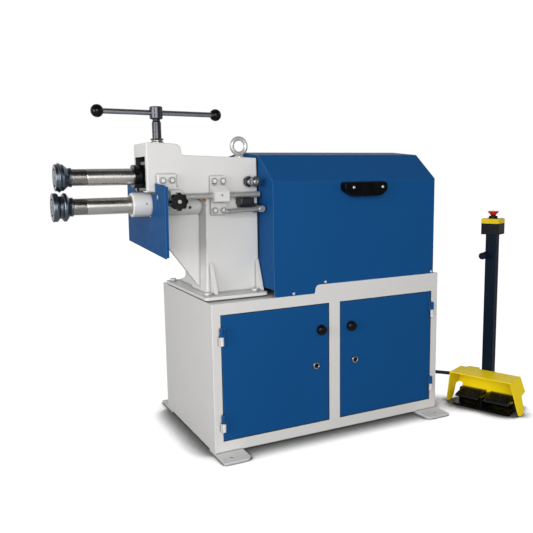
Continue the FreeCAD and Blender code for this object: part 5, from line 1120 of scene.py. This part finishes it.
@dataclass
class MushroomButton:
    """The red head of the emergency stop, with the dark ring that it stands in."""

    place: tuple[float, float] = (0.0, 0.0)
    bottom: float = 0.709
    radius: float = 0.020
    height: float = 0.013
    stem: float = 0.009

    def build(self, finishes: "Finishes") -> None:
        """Makes the button's head and the ring under it.

        Args:
            finishes: The finishes.
        """
        x, y = self.place
        r, h, s = self.radius, self.height, self.stem
        head = Blank("estop_mushroom")
        head.turned(((0.004, s + 0.0001), (0.0, s + 0.0004), (0.0, s + 0.0022), (h * 0.12, s + 0.0030),
                     (h * 0.32, r * 0.68), (h * 0.52, r * 0.84), (h * 0.68, r * 0.95), (h * 0.80, r * 0.995),
                     (h * 0.88, r * 0.985), (h * 0.95, r * 0.92), (h, r * 0.80), (h, r * 0.45),
                     (h * 0.995, 0.0)), Axis.Z, (x, y, self.bottom), 1.0, 64)
        for index in range(3):
            turn = math.tau * index / 3 + 0.4
            middle = Vector((x + r * 0.56 * math.cos(turn), y + r * 0.56 * math.sin(turn),
                             self.bottom + h - 0.0002))
            size = Vector((0.0044, 0.0013, 0.0004))
            head.boxed(tuple(middle - size), tuple(middle + size), 0.0003, 1,
                       Matrix.Rotation(turn + math.pi / 2, 3, "Z"))
        head.finish(Body.ESTOP_BUTTON, finishes.red, "red_plastic", ("estop_button",))
        ring = Blank("estop_collar")
        ring.turned(((0.0, s + 0.0004), (0.0, 0.0162), (0.0016, 0.0162), (0.0022, 0.0154), (0.0088, 0.0153),
                     (0.0096, 0.0146), (0.0096, s + 0.0004), (0.0, s + 0.0004)), Axis.Z, (x, y, 0.6949), 1.0, 56)
        ring.finish(Body.MACHINE, finishes.satin_black, "black_plastic")


@dataclass
class CableEnd:
    """The ribbed sleeve that the pedal cable leaves a gland through."""

    name: str
    start: Triple
    along: Triple
    length: float = 0.026
    cable: float = 0.006
    wall: float = 0.0042
    ribs: int = 5

    def build(self, finishes: "Finishes") -> None:
        """Makes the tapered sleeve.

        Args:
            finishes: The finishes.
        """
        aim = Vector(self.along).to_track_quat("Z", "Y").to_matrix().to_4x4()
        frame = Matrix.Translation(Vector(self.start)) @ aim
        sleeve = Blank(self.name, frame)
        inner = self.cable - 0.0004
        profile = [(0.0, inner), (0.0, self.cable + self.wall)]
        step = self.length / (self.ribs * 2)
        for index in range(self.ribs):
            share = index / self.ribs
            outer = self.cable + self.wall * (1.0 - share * 0.72)
            base = index * 2 * step
            profile += [(base + step, outer), (base + step * 1.12, outer - 0.0012),
                        (base + step * 1.88, outer - 0.0014), (base + step * 2, outer - 0.0004)]
        profile += [(self.length, self.cable + 0.0006), (self.length + 0.0004, inner), (0.0, inner)]
        sleeve.turned(tuple(profile), Axis.Z, (0.0, 0.0, 0.0), 1.0, 36)
        sleeve.finish(Body.MACHINE, finishes.cable, "cable_black")


@dataclass
class SmallParts:
    """The nipple, the plug, the screws and the other parts that are too small to be nodes of their own."""

    nipple: Triple = (-0.4079, -0.1340, 0.7899)
    nipple_shank: float = 0.0080
    plug: Triple = (-0.4428, -0.1015, 0.7683)
    bolt_face: float = -0.1534

    def build(self, finishes: "Finishes") -> None:
        """Makes every small part in turn.

        Args:
            finishes: The finishes.
        """
        self.make_nipple(finishes)
        self.make_bolt_shade_rings(finishes)
        self.make_cover_pull_screws(finishes)
        self.make_star_insert(finishes)
        self.make_louvres(finishes)
        self.make_box_screws(finishes)

    def make_nipple(self, finishes: "Finishes") -> None:
        """Makes the brass grease nipple and the blanked hole beside it."""
        nipple = Blank("grease_nipple")
        x, y, z = self.nipple
        nipple.sided(6, 0.0085, self.nipple_shank + 0.0035, Axis.Y, (x, y + self.nipple_shank, z), -1.0, 0.0005)
        nipple.turned(((0.0030, 0.0), (0.0030, 0.0030), (0.0052, 0.0030), (0.0060, 0.0022), (0.0072, 0.0022),
                       (0.0082, 0.0031), (0.0096, 0.0031), (0.0106, 0.0018), (0.0106, 0.0)), Axis.Y,
                      self.nipple, -1.0, 28)
        nipple.finish(Body.MACHINE, finishes.brass, "bronze")
        plug = Blank("casting_plug")
        plug.turned(((-0.0040, 0.0), (-0.0040, 0.0048), (0.0006, 0.0045), (0.0010, 0.0036), (0.0006, 0.0026),
                     (0.0006, 0.0)), Axis.Y, self.plug, -1.0, 28)
        plug.finish(Body.MACHINE, finishes.dark, "dark_steel")

    def make_bolt_shade_rings(self, finishes: "Finishes") -> None:
        """Makes a dark ring on the head of each bracket bolt, a painted shade outline round the head."""
        places = [(x, z) for centre, heights in ((-0.528, (0.8535,)), (-0.364, (0.849, 0.758)))
                  for z in heights for x in (centre - 0.01425, centre + 0.01425)]
        for index, (x, z) in enumerate(places):
            rim = Blank(f"bracket_bolt_shade_ring_{index + 1}")
            rim.turned(((-0.0003, 0.0066), (0.0002, 0.0068), (0.0003, 0.0076), (0.0001, 0.0083), (-0.0003, 0.0084),
                        (-0.0003, 0.0066)), Axis.Y, (x, self.bolt_face, z), -1.0, 28)
            rim.finish(Body.MACHINE, finishes.dark, "dark_steel")

    def make_cover_pull_screws(self, finishes: "Finishes") -> None:
        """Makes the two bright screws on the cover's pull."""
        for index, x in enumerate((0.057, 0.170)):
            screw = Blank(f"cover_pull_screw_{index + 1}")
            screw.turned(((-0.0003, 0.0), (-0.0003, 0.0048), (0.0012, 0.0044), (0.0022, 0.0028), (0.0022, 0.0016),
                          (0.0010, 0.0010), (0.0010, 0.0)), Axis.Y, (x, -0.2690, 0.821), -1.0, 28)
            screw.finish(Body.MACHINE, finishes.zinc, "zinc_steel")

    def make_star_insert(self, finishes: "Finishes") -> None:
        """Makes the steel insert in the star knob's face."""
        insert = Blank("star_knob_insert")
        insert.turned(((-0.0004, 0.0), (-0.0004, 0.0058), (0.0003, 0.0058), (0.0008, 0.0050), (0.0006, 0.0036),
                       (0.0009, 0.0022), (0.0009, 0.0)), Axis.Y, (-0.5105, -0.2060, 0.791), -1.0, 40)
        insert.finish(Body.STAR_KNOB, finishes.rod, "polished_steel")

    def make_louvres(self, finishes: "Finishes") -> None:
        """Makes the pressed hoods over the rear panel's slots."""
        for side in (-1.0, 1.0):
            for index in range(6):
                top = 0.3790 - index * 0.016
                middle = side * 0.195
                hood = Blank(f"rear_louvre_{'left' if side < 0 else 'right'}_{index + 1}")
                hood.boxed((middle - 0.062, 0.2415, top - 0.0015), (middle + 0.062, 0.2449, top + 0.0030), 0.0014, 2,
                           Matrix.Rotation(math.radians(-24.0), 3, "X"))
                hood.finish(Body.MACHINE, finishes.cabinet, "light_grey_paint")

    def make_box_screws(self, finishes: "Finishes") -> None:
        """Makes the lid screws of the control box."""
        for index, (x, z) in enumerate(((0.104, 0.102), (0.326, 0.102), (0.104, 0.378), (0.326, 0.378))):
            screw = Blank(f"control_box_screw_{index + 1}")
            screw.turned(((-0.0006, 0.0), (-0.0006, 0.0055), (0.0012, 0.0052), (0.0024, 0.0036), (0.0024, 0.0020),
                          (0.0012, 0.0012), (0.0012, 0.0)), Axis.Y, (x, 0.0960, z), -1.0, 28)
            screw.finish(Body.MACHINE, finishes.zinc, "zinc_steel")


@dataclass
class PedalStation:
    """The dressings of the pedal station: its pads, its screws and its button."""

    centre: Triple = (0.583, -0.323, 0.0)
    turn: float = -67.0
    treadle_inner: float = 0.009
    treadle_outer: float = 0.098
    treadle_front: float = -0.012
    treadle_pivot: float = 0.054
    front_height: float = 0.040
    back_height: float = 0.0573
    ribs: int = 8

    def axes(self) -> Matrix:
        """The station's own axes as a matrix."""
        return Matrix.Translation(Vector(self.centre)) @ Matrix.Rotation(math.radians(self.turn), 4, "Z")

    def build(self, finishes: "Finishes") -> None:
        """Makes the pads, the screws and the mushroom button.

        Args:
            finishes: The finishes.
        """
        for side, body, name in ((-1.0, Body.TREADLE_LEFT, "treadle_left"),
                                 (1.0, Body.TREADLE_RIGHT, "treadle_right")):
            self.make_pad(side, body, name, finishes)
        self.make_guard_screws(finishes)
        self.make_lid_screws(finishes)
        middle = self.axes() @ Vector((-0.016, 0.092, 0.0))
        MushroomButton((middle.x, middle.y)).build(finishes)

    def make_pad(self, side: float, body: Body, name: str, finishes: "Finishes") -> None:
        """Makes one treadle's ribbed rubber pad, on the slope of the treadle.

        Args:
            side: -1 for the left treadle and 1 for the right.
            body: The treadle's body.
            name: The treadle's name.
            finishes: The finishes.
        """
        slope = math.atan2(self.back_height - self.front_height - 0.001, self.treadle_pivot - self.treadle_front)
        low = min(side * self.treadle_inner, side * self.treadle_outer) + 0.005
        high = max(side * self.treadle_inner, side * self.treadle_outer) - 0.005
        lie = (Matrix.Translation(Vector((0.0, self.treadle_front, self.front_height)))
               @ Matrix.Rotation(slope, 4, "X"))
        pad = Blank(name + "_pad", self.axes() @ lie)
        pad.boxed((low, 0.003, -0.0020), (high, 0.058, 0.0012), 0.0010)
        for index in range(self.ribs):
            middle = 0.0075 + index * 0.0065
            pad.boxed((low + 0.003, middle - 0.0016, 0.0004), (high - 0.003, middle + 0.0016, 0.0028), 0.0009)
        pad.finish(body, finishes.tread, "tread_rubber")

    def make_guard_screws(self, finishes: "Finishes") -> None:
        """Makes the two screws in the guard's top."""
        for index, (x, y) in enumerate(((-0.094, 0.054), (0.094, 0.054))):
            screw = Blank(f"guard_screw_{index + 1}", self.axes())
            screw.turned(((-0.0006, 0.0), (-0.0006, 0.0050), (0.0006, 0.0048), (0.0018, 0.0034), (0.0018, 0.0018),
                          (0.0008, 0.0012), (0.0008, 0.0)), Axis.Z, (x, y, 0.1280 - 0.0017), 1.0, 28)
            screw.finish(Body.MACHINE, finishes.zinc, "zinc_steel")

    def make_lid_screws(self, finishes: "Finishes") -> None:
        """Makes the four screws at the corners of the stop button's lid."""
        for index, (x, y) in enumerate(((-0.024, -0.024), (0.024, -0.024), (-0.024, 0.024), (0.024, 0.024))):
            screw = Blank(f"estop_lid_screw_{index + 1}", self.axes())
            screw.turned(((-0.0005, 0.0), (-0.0005, 0.0036), (0.0004, 0.0034), (0.0011, 0.0022), (0.0011, 0.0012),
                          (0.0004, 0.0007), (0.0004, 0.0)), Axis.Z, (x - 0.016, y + 0.092, 0.6950), 1.0, 24)
            screw.finish(Body.MACHINE, finishes.dark, "dark_steel")


class Finishes:
    """Every finish of the machine, and the CAD nodes that each one covers."""

    def __init__(self) -> None:
        """Makes the materials."""
        light = linear(207, 206, 204)
        cast = linear(207, 206, 204)
        self.cabinet = Enamel("light_grey_enamel", light, linear(226, 226, 226), gloss=0.25, corner_shade=0.9).build()
        self.casting = CastEnamel("light_grey_casting", cast, linear(230, 230, 230)).build()
        # The bolt heads' edges are painted dark, partly as worn paint and partly as painted shade that outlines each
        # head.
        self.bolts = CastEnamel("painted_bolt_heads", cast, linear(112, 112, 114)).build()
        self.blue = Enamel("blue_enamel", linear(20, 74, 127), linear(104, 156, 206), 0.42, gloss=0.03,
                           edge_width=0.0018, edge_share=0.7, corner_shade=0.95).build()
        self.yellow = Enamel("yellow_enamel", linear(255, 224, 22), linear(255, 236, 96), 0.40, gloss=0.08).build()
        # The lid's yellow is a darker copy of the guard's yellow, painted shade.
        self.shaded_lid_yellow = Enamel("shaded_lid_yellow", linear(224, 192, 22), linear(244, 222, 88), 0.40, gloss=0.08).build()
        self.post = Enamel("dark_blue_enamel", linear(9, 22, 38), linear(26, 58, 104), 0.36, gloss=0.06).build()
        self.upper_steel = TurnedSteel("upper_shaft_steel", linear(216, 213, 207), Axis.X,
                                       (0.0, -0.065, 0.8665), hatched=(-0.800, -0.750)).build()
        self.lower_steel = TurnedSteel("lower_shaft_steel", linear(216, 213, 207), Axis.X,
                                       (0.0, -0.065, 0.7805), hatched=(-0.800, -0.754)).build()
        self.upper_roll = TurnedSteel("upper_roll_steel", linear(106, 114, 124), Axis.X,
                                      (0.0, -0.065, 0.8665), 0.30).build()
        self.lower_roll = TurnedSteel("lower_roll_steel", linear(106, 114, 124), Axis.X,
                                      (0.0, -0.065, 0.7805), 0.30).build()
        self.screw = TurnedSteel("feed_screw_steel", linear(84, 86, 90), Axis.Z,
                                 (-0.530, -0.065, 0.0), 0.30, thread_shade_span=(0.9815, 1.0295)).build()
        self.bar = PlatedSteel("handle_bar_steel", linear(176, 182, 190), 0.30).build()
        self.rod = TurnedSteel("ground_rod_steel", linear(200, 199, 196), Axis.X,
                               (0.0, -0.156, 0.805), metallic=0.6).build()
        self.lever = TurnedSteel("clamp_lever_steel", linear(176, 176, 174), Axis.X,
                                 (0.0, -0.186, 0.760), metallic=0.6).build()
        self.dark = PlatedSteel("blackened_steel", linear(70, 73, 78), 0.36).build()
        self.stud = PlatedSteel("threaded_stud_steel", linear(190, 191, 194), 0.26).build()
        # The second nut of each pivot is a lighter copy of the blackened steel, a painted highlight.
        self.nuts = (self.dark, PlatedSteel("lighter_nut_steel", linear(134, 137, 142), 0.24).build())
        self.brass = PlatedSteel("nipple_brass", linear(196, 160, 84), 0.3).build()
        self.zinc = PlatedSteel("zinc_plate", linear(214, 214, 212), 0.38, metallic=0.6).build()
        self.chrome = PlatedSteel("chrome_plate", linear(196, 195, 192), 0.2).build()
        self.bronze = PlatedSteel("bushing_bronze", linear(176, 148, 96), 0.36, steel_above=0.9).build()
        self.gloss_black = Moulding("gloss_black_moulding", linear(4, 5, 6), 0.09, gloss=0.2).build()
        self.satin_black = Moulding("satin_black_moulding", linear(3, 5, 7), 0.26, gloss=0.10).build()
        self.tread = Moulding("tread_rubber_black", linear(3, 5, 9), 0.24, 0.00003, 420.0, 0.25).build()
        self.red = Moulding("red_moulding", linear(190, 20, 24), 0.28).build()
        self.cable = Moulding("cable_rubber", linear(24, 24, 25), 0.5, 0.00003, 700.0).build()
        self.motor = Enamel("motor_enamel", linear(92, 100, 108), linear(120, 128, 134), 0.45).build()
        self.box = Enamel("box_powder_coat", linear(180, 182, 180), linear(196, 198, 196), 0.5, 0.00008).build()

    def covering(self) -> dict[str, bpy.types.Material]:
        """Tells which finish each CAD node has.

        Returns:
            The finish of each node by the node's name.
        """
        groups = (
            (self.cabinet, "cabinet_walls cabinet_top cabinet_floor front_frame rear_panel foot_plates"),
            (self.casting, "machine_frame frame_foot lower_bearing_tube"),
            (self.bolts, "frame_bolts bracket_bolts"),
            (self.casting, "stop_clamp_bracket stop_guide_bracket"),
            (self.blue, "door_left door_right drive_cover stop_plate"),
            (self.yellow, "pedal_guard"),
            (self.shaded_lid_yellow, "estop_lid"),
            (self.post, "pedal_post"),
            (self.upper_steel, "upper_shaft"),
            (self.lower_steel, "lower_shaft"),
            (self.upper_roll, "upper_roll upper_roll_nut upper_gear"),
            (self.lower_roll, "lower_roll lower_roll_nut lower_gear"),
            (self.screw, "feed_screw thrust_pad"),
            (self.bar, "feed_bar"),
            (self.rod, "stop_rod hinge_pins"),
            (self.lever, "clamp_lever"),
            (self.dark, "trunnion_screws clamp_bracket"),
            (self.zinc, "lifting_eye panel_screws"),
            (self.chrome, "lock_left lock_right"),
            (self.bronze, "arm_bushes frame_bushes"),
            (self.gloss_black, "slotted_ring_nut star_knob latch_left latch_right rocking_arm keeper_plate"),
            (self.satin_black, "cover_pull estop_box estop_plunger cable_gland pedal_base"),
            (self.tread, "treadle_left treadle_right"),
            (self.red, "estop_button"),
            (self.cable, "pedal_cable"),
            (self.motor, "gear_reducer drive_motor"),
            (self.box, "control_box"),
        )
        return {name: finish for finish, names in groups for name in names.split()}

    def dress(self, nodes: dict[str, bpy.types.Object]) -> None:
        """Gives every CAD node its finish.

        Args:
            nodes: The CAD nodes by name.
        """
        chosen = self.covering()
        for name, node in nodes.items():
            node.data.materials.clear()
            node.data.materials.append(chosen[name])
            LOG.info("%s is finished in %s", name, chosen[name].name)


def small_works() -> list:
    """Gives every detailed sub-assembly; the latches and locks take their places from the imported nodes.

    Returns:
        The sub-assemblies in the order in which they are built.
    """
    works: list = []
    for side in ("left", "right"):
        low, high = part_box(f"latch_{side}")
        works.append(DoorLatch(f"latch_{side}", Body(f"latch_{side}"), ((low[0] + high[0]) / 2, low[2] + 0.017),
                               high[2]))
        low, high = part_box(f"lock_{side}")
        works.append(KeyLock(f"lock_{side}", Body(f"lock_{side}"), ((low[0] + high[0]) / 2, low[2] + 0.012),
                             high[2]))
    works.append(FeedHandle())
    works.append(Trunnion("trunnion_front", -0.135, -1.0))
    works.append(Trunnion("trunnion_rear", 0.005, 1.0))
    works.append(PedalStation())
    works.append(CableEnd("cabinet_cable_sleeve", (0.318, 0.2655, 0.062), (0.0, 1.0, 0.0)))
    works.append(CableEnd("pedal_cable_sleeve", (0.7035, -0.2230, 0.019), (0.921, 0.390, 0.0)))
    works.append(SmallParts())
    return works


def main() -> None:
    """Builds the camera, the cable and the looks in order."""
    logging.basicConfig(level=logging.INFO, format="%(name)s: %(message)s")
    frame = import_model()
    bpy.context.scene.view_settings.view_transform = "Standard"
    Camera().build()
    Studio().build()
    finishes = Finishes()
    finishes.dress(frame["nodes"])
    PedalCable(route=CABLE_ROUTE).build(finishes.cable)
    for part in small_works():
        part.build(finishes)


if __name__ == "__main__":
    main()
